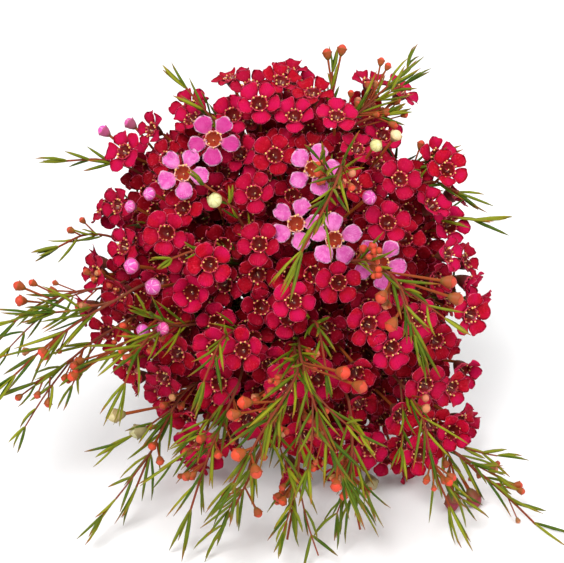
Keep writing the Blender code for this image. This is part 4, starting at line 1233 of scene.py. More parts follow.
# Turns polylines with a "thickness" into round stalks
def makeStalkTree():
    geo = GeoTree("stalks", (("Sides", "NodeSocketInt"), ("Finish", "NodeSocketMaterial")))
    curve = geo.node("GeometryNodeMeshToCurve", Mesh=geo.given("Geometry"))
    ring = geo.node("GeometryNodeCurvePrimitiveCircle", Resolution=geo.given("Sides"))
    ring.inputs["Radius"].default_value = 1
    swept = geo.node("GeometryNodeCurveToMesh", Curve=curve.outputs["Curve"])
    geo.feed(swept.inputs["Scale"], geo.named("thickness", "FLOAT"))
    geo.feed(swept.inputs["Profile Curve"], ring.outputs["Curve"])
    swept.inputs["Fill Caps"].default_value = True
    smooth = geo.node("GeometryNodeSetShadeSmooth", Geometry=swept.outputs["Mesh"])
    geo.close(smooth.outputs["Geometry"])
    return geo


# Runs a tree on a host mesh and keeps the result as a plain mesh object
def grown(name, host, geo, values):
    obj = inScene(name, host)
    modifier = obj.modifiers.new("grow", "NODES")
    modifier.node_group = geo.tree
    for label, value in values.items():
        modifier[geo.keys[label]] = value
    bpy.context.view_layer.update()
    mesh = bpy.data.meshes.new_from_object(obj.evaluated_get(bpy.context.evaluated_depsgraph_get()))
    obj.modifiers.clear()
    obj.data = mesh
    mesh.name = name
    return obj


# Points with the attributes that the scatter tree reads
def pointHost(name, rows):
    mesh = bpy.data.meshes.new(name)
    mesh.from_pydata([tuple(row["place"]) for row in rows], [], [])
    for key in ("turn", "size", "which", "tone"):
        marked(mesh, key, [row[key] for row in rows], "INT" if key == "which" else "FLOAT_VECTOR")
    return mesh


# Polylines with the attributes that the stalk tree reads
def lineHost(name, lines):
    points, edges, thick, age = [], [], [], []
    for route, radii, ages in lines:
        first = len(points)
        points += [tuple(p) for p in route]
        edges += [(first + i, first + i + 1) for i in range(len(route) - 1)]
        thick += radii
        age += ages
    mesh = bpy.data.meshes.new(name)
    mesh.from_pydata(points, edges, [])
    marked(mesh, "thickness", thick)
    marked(mesh, "age", age)
    return mesh


# Joins the parts of one piece; each keeps its own materials
def joined(name, parts):
    for obj in bpy.context.selected_objects:
        obj.select_set(False)
    for obj in parts:
        obj.select_set(True)
    bpy.context.view_layer.objects.active = parts[0]
    if len(parts) > 1:
        bpy.ops.object.join()
    piece = bpy.context.view_layer.objects.active
    piece.select_set(False)
    piece.name = piece.data.name = name
    for vertex in piece.data.vertices:  # what reaches the surface is pressed flat on it
        vertex.co.z = max(0, vertex.co.z)
    return piece


scatter = makeScatterTree()
stalks = makeStalkTree()


class Term:  # wraps a socket, so that shader maths reads as an expression
    def __init__(self, finish, socket):
        self.finish, self.socket = finish, socket

    def maths(self, operation, first, second=None):
        inputs = {0: first} if second is None else {0: first, 1: second}
        return self.finish.node("ShaderNodeMath", {"operation": operation}, inputs)

    def __add__(self, other):
        return self.maths("ADD", self, other)

    def __radd__(self, other):
        return self.maths("ADD", other, self)

    def __sub__(self, other):
        return self.maths("SUBTRACT", self, other)

    def __rsub__(self, other):
        return self.maths("SUBTRACT", other, self)

    def __mul__(self, other):
        return self.maths("MULTIPLY", self, other)

    def __truediv__(self, other):
        return self.maths("DIVIDE", self, other)

    def __pow__(self, other):
        return self.maths("POWER", self, other)

    def sine(self):
        return self.maths("SINE", self)


class Finish:  # one material and its nodes
    def __init__(self, name, **fixed):
        self.material = bpy.data.materials.new(name)
        self.material.use_nodes = True
        self.tree = self.material.node_tree
        self.shader = self.tree.nodes["Principled BSDF"]
        for label, value in fixed.items():
            self.shader.inputs[label.replace("_", " ")].default_value = value

    def node(self, kind, settings=None, inputs=None, output=0):
        made = self.tree.nodes.new(kind)
        for key, value in (settings or {}).items():
            setattr(made, key, value)
        for key, value in (inputs or {}).items():
            self.feed(made.inputs[key], value)
        return Term(self, made.outputs[output])

    def feed(self, socket, value):
        if isinstance(value, Term):
            self.tree.links.new(value.socket, socket)
        elif isinstance(value, tuple) and socket.type == "RGBA":
            socket.default_value = (*value, 1)
        else:
            socket.default_value = value

    def mix(self, factor, first, second):
        made = self.tree.nodes.new("ShaderNodeMix")
        made.data_type = "RGBA"
        made.clamp_factor = True
        for key, value in ((0, factor), (6, first), (7, second)):
            self.feed(made.inputs[key], value)
        return Term(self, made.outputs[2])

    def attribute(self, name):  # the three numbers of a vector attribute
        found = self.node("ShaderNodeAttribute", {"attribute_name": name}, output=1)
        split = self.tree.nodes.new("ShaderNodeSeparateXYZ")
        self.feed(split.inputs[0], found)
        return [Term(self, out) for out in split.outputs]

    def colourAttribute(self, name):
        return self.node("ShaderNodeAttribute", {"attribute_name": name}, output=0)

    def noise(self, scale, detail=3.0, rough=0.55):
        values = {"Vector": self.node("ShaderNodeTexCoord", output=3), "Scale": scale}
        return self.node("ShaderNodeTexNoise", None, {**values, "Detail": detail, "Roughness": rough})

    def step(self, value, low, high):  # 0 below low, 1 above high
        settings = {"interpolation_type": "SMOOTHSTEP"}
        return self.node("ShaderNodeMapRange", settings, {0: value, 1: low, 2: high})

    def close(self, colour, roughness, height=None, strength=0.0, distance=0.0):
        found = {"Base Color": colour, "Roughness": roughness}
        if height:
            bumps = {"Strength": strength, "Distance": distance, "Height": height}
            found["Normal"] = self.node("ShaderNodeBump", None, bumps)
        for label, value in found.items():
            self.feed(self.shader.inputs[label], value)
        return self.material


petalColours = {
    "crimson": (0.51, 0.0022, 0.018),
    "deep": (0.185, 0.0, 0.004),
    "magenta": (0.54, 0.0035, 0.075),
    # edge and paleEdge are painted highlight colours, used on the petal rims and the light grain
    "edge": (0.92, 0.14, 0.25),
    "claw": (0.14, 0.001, 0.004),
    "paleDeep": (0.46, 0.014, 0.17),
    "paleMiddle": (0.60, 0.065, 0.34),
    "paleLight": (0.74, 0.21, 0.52),
    "paleEdge": (0.88, 0.52, 0.68),
    "paleClaw": (0.74, 0.28, 0.42),
}


# Petals: mark = across, along, distance from the middle; tone = brightness, magenta share, paleness. The
# brightness is a random tone with painted shade on top, lower for blooms deeper inside the head
def petalFinish():
    colours = petalColours
    made = Finish("petal", Specular_IOR_Level=0.06)
    across, length, rim = made.attribute("mark")
    toneAndShade, magenta, paleness = made.attribute("tone")
    mottle = made.noise(420, 4)
    broad = made.noise(110, 2)
    fine = made.noise(2600, 2)
    # A noise for the petal crumples, painted into the colour as highlight and shade
    grain = made.noise(1300, 3)
    veins = ((across * 34 / (length + 0.4) + mottle * 3).sine() * 0.5 + 0.5) ** 6
    tinge = made.step(broad + magenta * 0.5 + mottle * 0.2, 0.62, 0.95)
    # Low brightness darkens the petals towards deep: random tone, plus painted shade deep in the head
    red = made.mix(toneAndShade, colours["deep"], colours["crimson"])
    red = made.mix(made.step(mottle, 0.5, 0.75) * 0.45, red, colours["deep"])
    # Light and dark grain: painted highlight and painted shade of a crumpled petal surface
    red = made.mix(made.step(grain, 0.56, 0.72) * 0.16, red, colours["edge"])
    red = made.mix(made.step(grain, 0.46, 0.32) * 0.5, red, colours["deep"])
    # The magenta tinge follows the brightness, so it is weaker in the painted shade deep in the head
    red = made.mix(tinge * toneAndShade * (1 - across * across), red, colours["magenta"])
    red = made.mix(veins * 0.20 * length, red, colours["deep"])
    red = made.mix(made.step(length, 0.42, 0.06) * 0.85, red, colours["claw"])
    # A lighter band along each petal's rim: painted highlight
    red = made.mix(made.step(rim + fine * 0.10, 0.94, 1.05) * 0.75, red, colours["edge"])
    pink = made.mix(made.step(mottle + broad * 0.5, 0.5, 1.0), colours["paleMiddle"], colours["paleLight"])
    pink = made.mix(veins * 0.25, pink, colours["paleMiddle"])
    # Light grain on pale petals: painted highlight of a crumpled surface
    pink = made.mix(made.step(grain, 0.54, 0.72) * 0.3, pink, colours["paleEdge"])
    # Low brightness darkens pale petals too: random tone, plus painted shade deep in the head
    pink = made.mix(made.step(toneAndShade, 0.85, 0.5) * 0.75, pink, colours["paleDeep"])
    pink = made.mix(made.step(length, 0.28, 0.0), pink, colours["paleClaw"])
    # A lighter band along each pale petal's rim: painted highlight
    pink = made.mix(made.step(rim + fine * 0.15, 0.86, 1.04) * 0.8, pink, colours["paleEdge"])
    colour = made.mix(paleness, red, pink)
    relief = mottle * 0.8 + veins * 0.5 + fine * 0.3
    return made.close(colour, 0.5 + mottle * 0.14, relief, 0.6, 0.35 * mm)


cupColours = {
    "inside": (0.10, 0.003, 0.002),
    "insideRim": (0.20, 0.008, 0.006),
    "paleInside": (0.34, 0.040, 0.014),
    "outside": (0.125, 0.008, 0.012),
    "foot": (0.16, 0.07, 0.018),
    "tooth": (0.62, 0.035, 0.085),
    "paleTooth": (0.85, 0.42, 0.36),
}


# Cups: mark = height, inside, tooth
def cupFinish():
    colours = cupColours
    made = Finish("cup", Specular_IOR_Level=0.25)
    height, inside, tooth = made.attribute("mark")
    _, _, paleness = made.attribute("tone")
    mottle = made.noise(900, 3)
    rings = (height * 60).sine() * 0.5 + 0.5
    hollow = made.mix(height * height, colours["inside"], colours["insideRim"])
    hollow = made.mix(paleness, hollow, colours["paleInside"])
    hollow = made.mix(rings * 0.3 * mottle * height, hollow, colours["tooth"])
    skin = made.mix(height + mottle * 0.3, colours["foot"], colours["outside"])
    crown = made.mix(paleness, colours["tooth"], colours["paleTooth"])
    body = made.mix(made.step(inside, 0.45, 0.75), skin, hollow)
    colour = made.mix(made.step(tooth, 0.1, 0.8), body, crown)
    return made.close(colour, 0.62 - inside * 0.30, mottle, 0.4, 0.2 * mm)


stamenColours = {
    "filament": (0.55, 0.03, 0.07),
    "anther": (0.90, 0.58, 0.17),
    "dullAnther": (0.42, 0.07, 0.012),
    "style": (0.80, 0.30, 0.24),
    "styleTip": (0.90, 0.66, 0.34),
}


def stamenFinish():
    colours = stamenColours
    made = Finish("stamen", Specular_IOR_Level=0.45)
    length, anther, style = made.attribute("mark")
    fine = made.noise(3000, 2)
    stalk = made.mix(style, colours["filament"], colours["style"])
    stalk = made.mix(length * length * style, stalk, colours["styleTip"])
    ripe = made.mix(made.step(length, 0.25, 0.8), colours["dullAnther"], colours["anther"])
    colour = made.mix(made.step(anther, 0.2, 0.9) * (0.8 + fine * 0.3), stalk, ripe)
    return made.close(colour, 0.45 + fine * 0.2, fine, 0.4, 0.1 * mm)


budColours = {
    "pink": (0.74, 0.085, 0.40),
    "cream": (0.76, 0.64, 0.30),
    "orange": (0.60, 0.060, 0.024),
    "peach": (0.62, 0.21, 0.10),
    "brown": (0.30, 0.035, 0.055),
    "green": (0.55, 0.50, 0.24),
    "seam": (0.95, 0.70, 0.80),
    "creamSeam": (0.46, 0.36, 0.10),
    "calyx": (0.17, 0.085, 0.012),
    "calyxFoot": (0.11, 0.11, 0.015),
}


# Buds: mark = height, seam, petals; tone = the petals' own colour
def budFinish():
    made = Finish("bud", Specular_IOR_Level=0.25)
    height, seam, petals = made.attribute("mark")
    own = made.colourAttribute("tone")
    mottle = made.noise(700, 3)
    fine = made.noise(2400, 2)
    pinkness = made.attribute("tone")[2]
    line = made.mix(made.step(pinkness, 0.31, 0.36), budColours["creamSeam"], budColours["seam"])
    seams = made.step(seam + fine * 0.1, 0.8, 0.98) * made.step(pinkness, 0.06, 0.2)
    ball = made.mix(seams * 0.45, own, line)
    ball = made.mix(made.step(mottle, 0.5, 0.75) * pinkness * 0.8, ball, budColours["seam"])
    shell = made.mix(0.3 + mottle * 0.3, budColours["calyx"], own)
    shell = made.mix(made.step(height, 0.5, 0.05) * 0.6, shell, budColours["calyxFoot"])
    colour = made.mix(petals, shell, ball)
    return made.close(colour, 0.42 + mottle * 0.2, mottle * 0.6 + fine * 0.3, 0.35, 0.2 * mm)


leafColours = {
    "green": (0.042, 0.092, 0.003),
    "light": (0.270, 0.280, 0.010),
    "dark": (0.012, 0.018, 0.002),
    "tip": (0.30, 0.09, 0.01),
    "base": (0.22, 0.18, 0.012),
}


# Needles: mark = across, along; tone = lightness, tip colour, and painted shade for depth in the head
def leafFinish():
    colours = leafColours
    made = Finish("needle", Specular_IOR_Level=0.15)
    across, length, _ = made.attribute("mark")
    light, rust, depthShade = made.attribute("tone")
    mottle = made.noise(500, 3)
    dots = made.noise(3600, 1)
    blade = made.mix(light + mottle * 0.4 - 0.2, colours["green"], colours["light"])
    blade = made.mix(made.step(length, 0.2, 0.0), blade, colours["base"])
    blade = made.mix(made.step(length, 0.6, 0.98) * (rust + 0.15), blade, colours["tip"])
    blade = made.mix(made.step(across * across, 0.75, 1.0) * 0.3, blade, colours["light"])
    # Needles deep in the head are darkened towards dark: painted shade
    colour = made.mix(depthShade, blade, colours["dark"])
    return made.close(colour, 0.42 + mottle * 0.2, dots, 0.4, 0.12 * mm)


stalkColours = {
    "wood": (0.12, 0.060, 0.030),
    "red": (0.25, 0.020, 0.005),
    "young": (0.29, 0.065, 0.008),
    "grey": (0.26, 0.19, 0.13),
}


def stalkFinish():
    colours = stalkColours
    made = Finish("stalk", Specular_IOR_Level=0.18)
    age = made.node("ShaderNodeAttribute", {"attribute_name": "age"}, output=2)
    mottle = made.noise(420, 4)
    fine = made.noise(1900, 3)
    skin = made.mix(age, colours["wood"], colours["red"])
    skin = made.mix(made.step(age, 0.55, 1.0) * mottle * 1.6, skin, colours["young"])
    skin = made.mix(made.step(fine, 0.56, 0.7) * (1 - age) * 0.5, skin, colours["grey"])
    return made.close(skin, 0.6 + mottle * 0.25, fine + mottle, 0.5, 0.25 * mm)


petalSkin, cupSkin, stamenSkin = petalFinish(), cupFinish(), stamenFinish()
budSkin, leafSkin, stalkSkin = budFinish(), leafFinish(), stalkFinish()
print("finishes ready")


# How far the dome's surface is from the head's centre on the way to a point
def headShell(point):
    return (dome(*domeAngles(point))[0] - headCentre).length


# Rows for the scatter tree
def rowAt(place, axis, roll, size, which, tone):
    turn = frameTo(axis, roll).to_euler()
    return {"place": place, "turn": tuple(turn), "size": size, "which": which, "tone": tone}


# Stalks: thick ones, from this radius, are slimmer than planned and older in colour than thin ones
stalkLooks = {
    "thickFrom": 0.8 * mm,
    "slim": (0.92, 0.78),
    "young": (0.35, 0.75),
    "bloomPedicel": (0.42 * mm, 0.56 * mm),
    "budPedicel": 0.34 * mm,
    "smallBudPedicel": 0.26 * mm,
    "budFoot": (1.45, 0.24),  # where a pedicel meets a bud and how thick, as shares of the bud's radius
}


class BranchLooks:  # the fine shapes of one side branch
    def __init__(self, branch):
        self.branch = branch
        self.blooms, self.cups, self.stamens, self.buds, self.leaves, self.lines = [], [], [], [], [], []
        for points, radii in branch["tubes"]:
            self.tube(points, radii)
        for piece in branch["pieces"]:
            kind, _, colour = piece["kind"].partition("_")
            if kind == "bloom":
                self.bloom(piece, colour)
            elif kind == "bud":
                self.bud(piece, colour)
            else:
                self.leaf(piece["base"], piece["axis"], piece["size"], 0)

    def tube(self, points, radii):
        count = max(8, len(points) * 3)
        share = [i / (count - 1) for i in range(count)]
        thin = radii[0] <= stalkLooks["thickFrom"]
        slim, young = stalkLooks["slim"][thin], stalkLooks["young"][thin]
        thick = [(radii[0] + (radii[1] - radii[0]) * s) * slim * chance.uniform(0.93, 1.07) for s in share]
        self.lines.append((smoothRoute(points, count), thick, [young * 0.5 + young * 0.5 * s for s in share]))

    def pedicel(self, root, foot, axis, low, high):
        bend = root.lerp(foot, 0.6) - axis * (foot - root).length * 0.06
        steps = range(5)
        thick, ages = [low + (high - low) * i / 4 for i in steps], [0.7 + 0.06 * i for i in steps]
        self.lines.append((smoothRoute([root, bend, foot], len(steps)), thick, ages))

    def bloom(self, piece, kind):
        place, axis, roll = piece["place"], piece["axis"], piece["roll"]
        low, count = firstOf[kind]
        # Deeper inside the head a bloom gets a lower brightness and magenta share: painted shade on top of
        # its random tone
        depth = (headShell(place) - (place - headCentre).length) / mm
        toneAndShade = max(0, chance.uniform(0.45, 1.0) - 0.045 * max(0, depth - 1))
        tone = (toneAndShade, chance.uniform(0.0, 1.0) - 0.02 * max(0, depth), 1.0 if kind == "pale" else 0.0)
        size = (1, 1, 1) if kind == "pale" else (chance.uniform(0.93, 1.04),) * 3
        sway = Vector([chance.uniform(-1, 1) for _ in range(3)]) * petalLooks["jitter"][kind]
        axis = (axis + sway).normalized()
        self.blooms.append(rowAt(place, axis, roll, size, low + chance.randrange(count), tone))
        self.cups.append(rowAt(place, axis, roll, size, 0, tone))
        roll += chance.uniform(0, 0.6)
        self.stamens.append(rowAt(place, axis, roll, size, chance.randrange(4), tone))
        foot = place - axis * (bloomSizes["cupDepth"] + bloomSizes["rimDepth"] * 0.9)
        self.pedicel(piece["root"], foot, axis, *stalkLooks["bloomPedicel"])

    def bud(self, piece, colour):
        which = {"orange": 1, "brown": 2, "green": 2}.get(colour, 0)
        tone = tuple(c * chance.uniform(0.85, 1.1) for c in budColours[colour])
        spot = piece["root"], piece["place"], piece["axis"], piece["radius"]
        self.ballAt(*spot, which, tone, stalkLooks["budPedicel"])

    def smallBud(self, root, place, axis, radius):
        colour = "peach" if chance.random() < 0.2 else "orange"
        tone = tuple(c * chance.uniform(0.8, 1.1) for c in budColours[colour])
        self.ballAt(root, place, axis, radius, 1, tone, stalkLooks["smallBudPedicel"])

    def ballAt(self, root, place, axis, radius, which, tone, pedicel):
        self.buds.append(rowAt(place, axis, chance.uniform(0, 6), (radius,) * 3, which, tone))
        low, thick = stalkLooks["budFoot"]
        self.pedicel(root, place - axis * radius * low, axis, pedicel, thick * radius)

    def leaf(self, base, axis, size, depthShade):
        width = needleLooks["halfWidth"] * chance.uniform(0.85, 1.15)
        tone = (chance.uniform(0, 1) ** 1.5, chance.uniform(0, 1) ** 1.5, depthShade)
        roll = chance.uniform(0, 6.28)
        self.leaves.append(rowAt(base, axis, roll, (width, width, size), chance.randrange(4), tone))

    def scattered(self, name, kinds):
        parts = []
        for label, rows, shapes, skin in kinds:
            if rows:
                values = {"Shapes": shapes, "Finish": skin}
                parts.append(grown(name + label, pointHost(label, rows), scatter, values))
        return parts

    def pieces(self):
        name = "b" + self.branch["name"][1:].replace("_", "")
        flowers = (
            ("Petals", self.blooms, corollas, petalSkin),
            ("Cups", self.cups, cups, cupSkin),
            ("Stamens", self.stamens, stamenSets, stamenSkin),
        )
        blossoms = joined(name + "Blooms", self.scattered(name, flowers))
        values = {"Sides": 8, "Finish": stalkSkin}
        twigs = grown(name + "Twigs", lineHost("lines", self.lines), stalks, values)
        greens = (("Leaves", self.leaves, needles, leafSkin), ("Buds", self.buds, buds, budSkin))
        return blossoms, joined(name + "Sprays", [twigs, *self.scattered(name, greens)])


branchLooks = [BranchLooks(branch) for branch in plan.branches]
branchOf = {look.branch["name"]: look for look in branchLooks}


extraLooks = {
    "leafStep": 15 * mm,
    "dressedFrom": 15 * mm,  # shoots with shorter leaves have no side shoots or small buds
    "sideShoots": 2,
    "sideLength": (16 * mm, 30 * mm),
    "sideRadii": (0.5 * mm, 0.32 * mm),
    "sideLeaf": 0.75,  # of the shoot's own leaves
    "sideStep": 8.5 * mm,
    "sideLowest": 3 * mm,
    "budClusters": 5,
    "budRadius": (0.9 * mm, 1.6 * mm),
    "budStalk": (7, 11),  # mm
}


# Needles in pairs along a route, with a tuft at its tip
def leafyRoute(look, points, first, size, step):
    count = max(2, round(routeLength(points) * (1 - first) / step))
    turn = chance.uniform(0, 6)
    for i in range(count + 1):
        last = i == count
        share = 0.985 if last else first + (0.97 - first) * (i + 0.3) / count
        heading = (along(points, min(1, share + 0.03)) - along(points, share - 0.04)).normalized()
        across = frameTo(heading, turn + i * 1.57)
        base = along(points, share)
        for k in range(3 if last else 2):
            out = across @ Vector((math.cos(k * math.pi), 0.35 * (k > 1), 0))
            lean = chance.uniform(5, 17) if last else chance.uniform(16, 36)
            axis = leaned(heading, out, math.radians(lean))
            length = size * chance.uniform(0.7, 1.05)
            if (base + axis * length).z > 0.5 * mm:
                look.leaf(base, axis, length, 0)


# A place on a shoot, and its heading there
def startOn(points, low, high):
    share = chance.uniform(low, high)
    start = along(points, share)
    return start, (along(points, share + 0.1) - start).normalized()


def sideShoot(look, points, leaf):
    looks = extraLooks
    start, heading = startOn(points, 0.35, 0.8)
    out = sideways(heading, chance.uniform(0, 6.28))
    way = (heading + out * chance.uniform(0.3, 0.6)).normalized()
    end = start + way * chance.uniform(*looks["sideLength"])
    if end.z >= looks["sideLowest"]:
        side = smoothRoute([start, start.lerp(end, 0.5) + heading * 2 * mm, end], 5)
        look.tube(side, looks["sideRadii"])
        leafyRoute(look, side, 0.3, leaf * looks["sideLeaf"], looks["sideStep"])


def budCluster(look, points):
    looks = extraLooks
    start, heading = startOn(points, 0.3, 0.85)
    turn = chance.uniform(0, 6.28)
    for _ in range(chance.choice((1, 2, 3))):
        out = sideways(heading, turn + chance.uniform(-0.5, 0.5))
        axis = (heading + out * chance.uniform(0.4, 1.0)).normalized()
        radius = chance.uniform(*looks["budRadius"])
        place = start + axis * chance.uniform(*looks["budStalk"]) * mm
        if place.z > radius:
            look.smallBud(start, place, axis, radius)


# More needles, side shoots and small buds on the leafy shoots
for shoot in [shoot for twig in plan.twigs for shoot in twig["shoots"]]:
    look = branchOf[shoot["branch"]["name"]]
    leafyRoute(look, shoot["points"], 0.25 + 0.75 * shoot["leafyFrom"], shoot["leaf"], extraLooks["leafStep"])
    if shoot["leaf"] >= extraLooks["dressedFrom"]:
        for _ in range(extraLooks["sideShoots"]):
            sideShoot(look, shoot["points"], shoot["leaf"])
        for _ in range(extraLooks["budClusters"]):
            budCluster(look, shoot["points"])


# Blooms, sprigs and needles inside the head
fillLooks = {
    "insets": (6, 9, 13, 17, 22, 27, 33),  # mm inside the dome, tried in this order
    "start": 2 * mm,  # how far inside the dome a gap is looked for
    "widest": math.radians(104),
    "keptIn": 0.12,  # how far it stays inside the outline, as a share of the way out
    # sides it is looked at from: right, up, places looked at, share of a bloom that hides what is behind
    "sides": (
        (0, 0, 2400, 0.70),
        (0.5, 0, 800, 0.70),
        (-0.5, 0, 800, 0.70),
        (0, 0.5, 800, 0.70),
        (0, -0.5, 800, 0.70),
        (0, 0, 2400, 0.55),
    ),
    "lowest": 10 * mm,
    "edgeLowest": 9 * mm,
    "edgeFacing": (0.45, 0.75),  # share of the dome's normal, and of the way to the front
    "sprayInset": 20 * mm,
    "sprigLeaves": 6,
    "sprigLeaf": 9 * mm,
    "sprigStalk": 0.3 * mm,
    "needles": 700,
    "needleSize": (9 * mm, 16 * mm),
    "needleLowest": 1 * mm,
}


class Cover:  # the blooms as discs, to find where the view goes through between them
    def __init__(self):
        rows = [row for look in branchLooks for row in look.blooms]
        self.places = [tuple(row["place"]) for row in rows]
        self.axes = [tuple(Euler(row["turn"]).to_matrix() @ Vector((0, 0, 1))) for row in rows]

    def add(self, place, axis):
        self.places.append(tuple(place))
        self.axes.append(tuple(axis))

    def blocks(self, point, way, reach):
        places, axes = np.array(self.places), np.array(self.axes)
        slope = axes @ np.array(way)
        slope = np.where(np.abs(slope) < 0.12, 0.12, slope)
        away = ((places - np.array(point)) * axes).sum(1) / slope
        miss = np.array(point) + away[:, None] * np.array(way) - places
        return bool((np.linalg.norm(miss, axis=1) < reach).any())


# A leafy sprig inside the head, where no bloom fits; its needles are painted dark as shade
def fillSprig(place, way, polar, azimuth):
    looks = fillLooks
    twig = plan.nearestTwigs(polar, azimuth)[0]
    look = branchOf[twig["branch"]["name"]]
    look.pedicel(plan.rootOn(twig["route"], place), place, way, looks["sprigStalk"], looks["sprigStalk"])
    for i in range(looks["sprigLeaves"]):
        out = sideways(way, i * 1.05 + chance.uniform(0, 0.6))
        axis = (out + way * chance.uniform(-0.2, 0.4)).normalized()
        size = looks["sprigLeaf"] * chance.uniform(0.8, 1.2)
        if (place + axis * size).z > looks["needleLowest"]:
            look.leaf(place - way * chance.uniform(0, 3) * mm, axis, size, chance.uniform(0.6, 1))


# A bloom on the nearest twig, where it crosses no other
def fillBloom(place, axis, turn, polar, azimuth):
    shape = plan.blooms["deep"]
    head = shape.placed(place, turn)
    if plan.crowd.touches(head, shape.headFaces, only="flower"):
        return False
    twig = plan.nearestTwigs(polar, azimuth)[0]
    foot = place - axis * (bloomSizes["cupDepth"] + bloomSizes["rimDepth"])
    root = plan.rootOn(twig["route"], foot)
    look = branchOf[twig["branch"]["name"]]
    look.bloom({"place": place, "axis": axis, "roll": chance.uniform(0, 1.25), "root": root}, "deep")
    plan.crowd.add(head, shape.headFaces, (twig["branch"]["name"], "flower"))
    return True


# More blooms behind those of the plan, wherever a gap shows between them
def fillHead():
    looks = fillLooks
    cover = Cover()
    placed = sprigs = 0
    for leanRight, leanUp, tries, share in looks["sides"]:
        way = (frontWay + rightWay * leanRight + upWay * leanUp).normalized()
        for _ in range(tries):
            polar = math.acos(chance.uniform(math.cos(looks["widest"]), 1))
            azimuth = chance.uniform(-math.pi, math.pi)
            start, normal = dome(polar, azimuth, looks["start"])
            aside = start - headCentre
            start -= (aside - way * aside.dot(way)) * looks["keptIn"]
            if normal.dot(way) < 0.1 or cover.blocks(start, way, bloomSizes["radius"] * share):
                continue
            wander = Vector([chance.uniform(-1, 1) for _ in range(3)]) * 0.3
            axis = (normal * 0.6 + way * 0.6 + wander).normalized()
            turn = frameTo(axis, chance.uniform(0, 1.25))
            for inset in looks["insets"]:
                place = start - way * inset * mm
                if place.z < looks["lowest"]:
                    break
                if fillBloom(place, axis, turn, polar, azimuth):
                    cover.add(place, axis)
                    placed += 1
                    break
            else:
                place = start - way * looks["sprayInset"]
                fillSprig(place, way, polar, azimuth)
                cover.add(place, way)
                sprigs += 1
        print("blooms and sprigs behind", placed, sprigs)


# Blooms at the edge of the head, by pixel of the photograph: along the bottom, then at the upper right
edgeBlooms = (
    (196, 440), (212, 450), (302, 438), (318, 450), (335, 445), (352, 459), (369, 449), (387, 457),
    (403, 444), (419, 455), (436, 441), (452, 432), (437, 157), (447, 170), (449, 226),
)
edgeFronts = (10, 14, 6, 18, 2)  # mm in front of the head's middle, tried in this order


def fillEdge():
    facing = fillLooks["edgeFacing"]
    for pixelX, pixelY in edgeBlooms:
        for front in edgeFronts:
            place = seenAt(pixelX, pixelY, front, fillLooks["edgeLowest"])
            polar, azimuth = domeAngles(place)
            _, normal = dome(polar, azimuth)
            axis = (normal * facing[0] + frontWay * facing[1]).normalized()
            if fillBloom(place, axis, frameTo(axis, chance.uniform(0, 1.25)), polar, azimuth):
                print("edge bloom", pixelX, pixelY, front)
                break


# Needles along the twigs inside the head, painted dark as shade
def fillNeedles():
    looks = fillLooks
    for _ in range(looks["needles"]):
        twig = plan.twigs[chance.randrange(len(plan.twigs))]
        route = twig["route"]
        share = chance.uniform(0.25, 0.95)
        base = along(route, share)
        heading = (along(route, min(1, share + 0.05)) - base).normalized()
        out = sideways(heading, chance.uniform(0, 6.28))
        axis = leaned(heading, out, math.radians(chance.uniform(20, 60)))
        size = chance.uniform(*looks["needleSize"])
        if (base + axis * size).z > looks["needleLowest"]:
            branchOf[twig["branch"]["name"]].leaf(base, axis, size, chance.uniform(0.4, 0.9))


fillHead()
fillEdge()
fillNeedles()


woodLooks = {
    "sides": 20,
    "rows": 190,
    "ridges": 7,
    "ridgeHeight": 0.035,  # of the radius
    "winding": (9, 60),  # how the ridges turn and waver from end to end, in radians
    "nodeEvery": 34 * mm,
    "nodeSwell": 0.12,
    "nodeWidth": 0.05,  # of the way to the next node
    "slim": 0.95,
    "cutBack": 3.2 * mm,
}


# The woody stem: ridged bark that swells at its nodes, cut on the slant
def woodyStem():
    looks = woodLooks
    rows, sides = looks["rows"], looks["sides"]
    turns, wavers = looks["winding"]
    route = smoothRoute(plan.stem, rows)
    length = routeLength(route)
    cutAt = plan.stem[0] - Vector((0, looks["cutBack"], 0))
    cutWay = Vector((0, math.sin(stemSizes["cutSlant"]), math.cos(stemSizes["cutSlant"])))
    points, ages = [], []
    for i in range(rows):
        share = i / (rows - 1)
        heading = (route[min(i + 1, rows - 1)] - route[max(i - 1, 0)]).normalized()
        turn = frameTo(heading)
        near = abs((share * length / looks["nodeEvery"]) % 1 - 0.5)
        swollen = 1 + looks["nodeSwell"] * math.exp(-((near / looks["nodeWidth"]) ** 2))
        radius = plan.stemRadius(share) * looks["slim"]
        for k in range(sides):
            angle = 2 * math.pi * k / sides
            phase = looks["ridges"] * angle + turns * share + math.sin(wavers * share)
            ridge = looks["ridgeHeight"] * math.sin(phase)
            around = turn @ Vector((math.cos(angle), math.sin(angle), 0))
            points.append(route[i] + around * radius * (swollen + ridge))
            ages.append(0.25 * share)
    for point in points:
        past = (point - cutAt).dot(cutWay)
        if past > 0:
            point -= Vector((0, past / cutWay.y, 0))
        point.z = max(0, point.z)
    faces = tubeFaces(rows, sides, False)
    for row, order in ((0, -1), (rows - 1, 1)):
        points.append(sum(points[row * sides : row * sides + sides], Vector()) / sides)
        ages.append(0.9 if row == 0 else 0.25)
        for k in range(sides):
            face = [row * sides + k, row * sides + (k + 1) % sides, len(points) - 1]
            faces.append(face[::order])
    mesh = meshOf("woodyStem", points, faces, "age", ages, "FLOAT")
    mesh.materials.append(stalkSkin)
    return inScene("woodyStem", mesh)


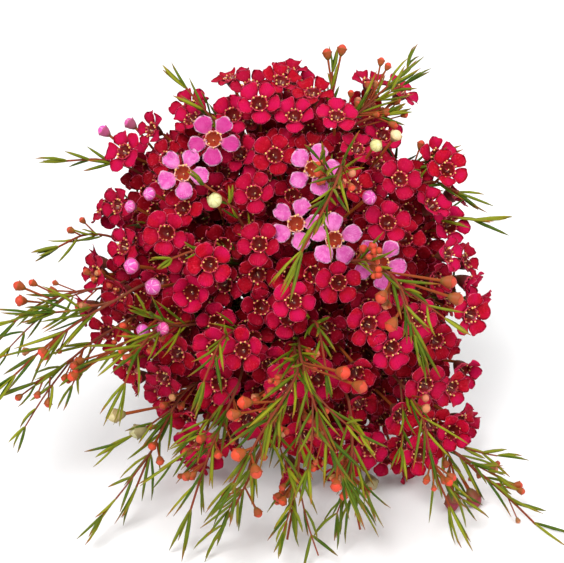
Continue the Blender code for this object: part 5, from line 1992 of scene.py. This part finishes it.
wood = woodyStem()
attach(wood, "root")
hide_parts("main_stem")
triangles = 0
for look in branchLooks:
    for piece, slot in zip(look.pieces(), ("blossom", "bark")):
        if piece:
            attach(piece, "root")
            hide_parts(look.branch["name"])
            piece.data.calc_loop_triangles()
            triangles += len(piece.data.loop_triangles)
            print(piece.name, len(piece.data.loop_triangles))
print("triangles", triangles)
for store in (corollas, cups, stamenSets, buds, needles):
    for obj in list(store.objects):
        bpy.data.objects.remove(obj)
    bpy.data.collections.remove(store)


roomLooks = {
    "floor": (0.93, 0.93, 0.93),
    "floorHalf": 3.0,
    "world": 0.46,
    "lamps": (
        ("key", (-0.35, -0.75, 1.15), 0.6, 16),
        ("fill", (0.8, -0.5, 0.7), 0.9, 6),
        ("back", (0.2, 0.9, 0.9), 0.9, 5),
    ),
    "lens": 103.5,
    "aim": (-0.4 * mm, -3.5 * mm),  # right and up of the head's centre
}


def makeRoom():
    looks = roomLooks
    half = looks["floorHalf"]
    mesh = bpy.data.meshes.new("floor")
    corners = [(-half, -half, 0), (half, -half, 0), (half, half, 0), (-half, half, 0)]
    mesh.from_pydata(corners, [], [[0, 1, 2, 3]])
    floor = inScene("floor", mesh)
    paint = Finish("floor")
    grain = paint.noise(40, 2)
    colour = paint.mix(grain, looks["floor"], tuple(c * 0.985 for c in looks["floor"]))
    mesh.materials.append(paint.close(colour, 0.85 + grain * 0.05))
    floor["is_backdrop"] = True
    world = bpy.data.worlds.new("paleRoom")
    bpy.context.scene.world = world
    world.use_nodes = True
    sky = world.node_tree.nodes["Background"]
    sky.inputs["Color"].default_value = (1, 1, 1, 1)
    sky.inputs["Strength"].default_value = looks["world"]
    for name, place, size, power in looks["lamps"]:
        light = bpy.data.lights.new(name, "AREA")
        light.size, light.energy = size, power
        lamp = inScene(name, light)
        lamp.location = place
        lamp.rotation_euler = (Vector(place) - headCentre).to_track_quat("Z", "Y").to_euler()
    camera = inScene("camera", bpy.data.cameras.new("camera"))
    camera.data.lens = looks["lens"]
    aim = headCentre + rightWay * looks["aim"][0] + upWay * looks["aim"][1]
    camera.location = aim + frontWay * headSizes["eyeDistance"]
    camera.rotation_euler = frontWay.to_track_quat("Z", "Y").to_euler()
    bpy.context.scene.camera = camera
    bpy.context.scene.view_settings.view_transform = "Standard"


makeRoom()
sizes = {"cad": cadBox, "visual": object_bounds()}
{key: [list(map(float, corner)) for corner in box] for key, box in sizes.items()}
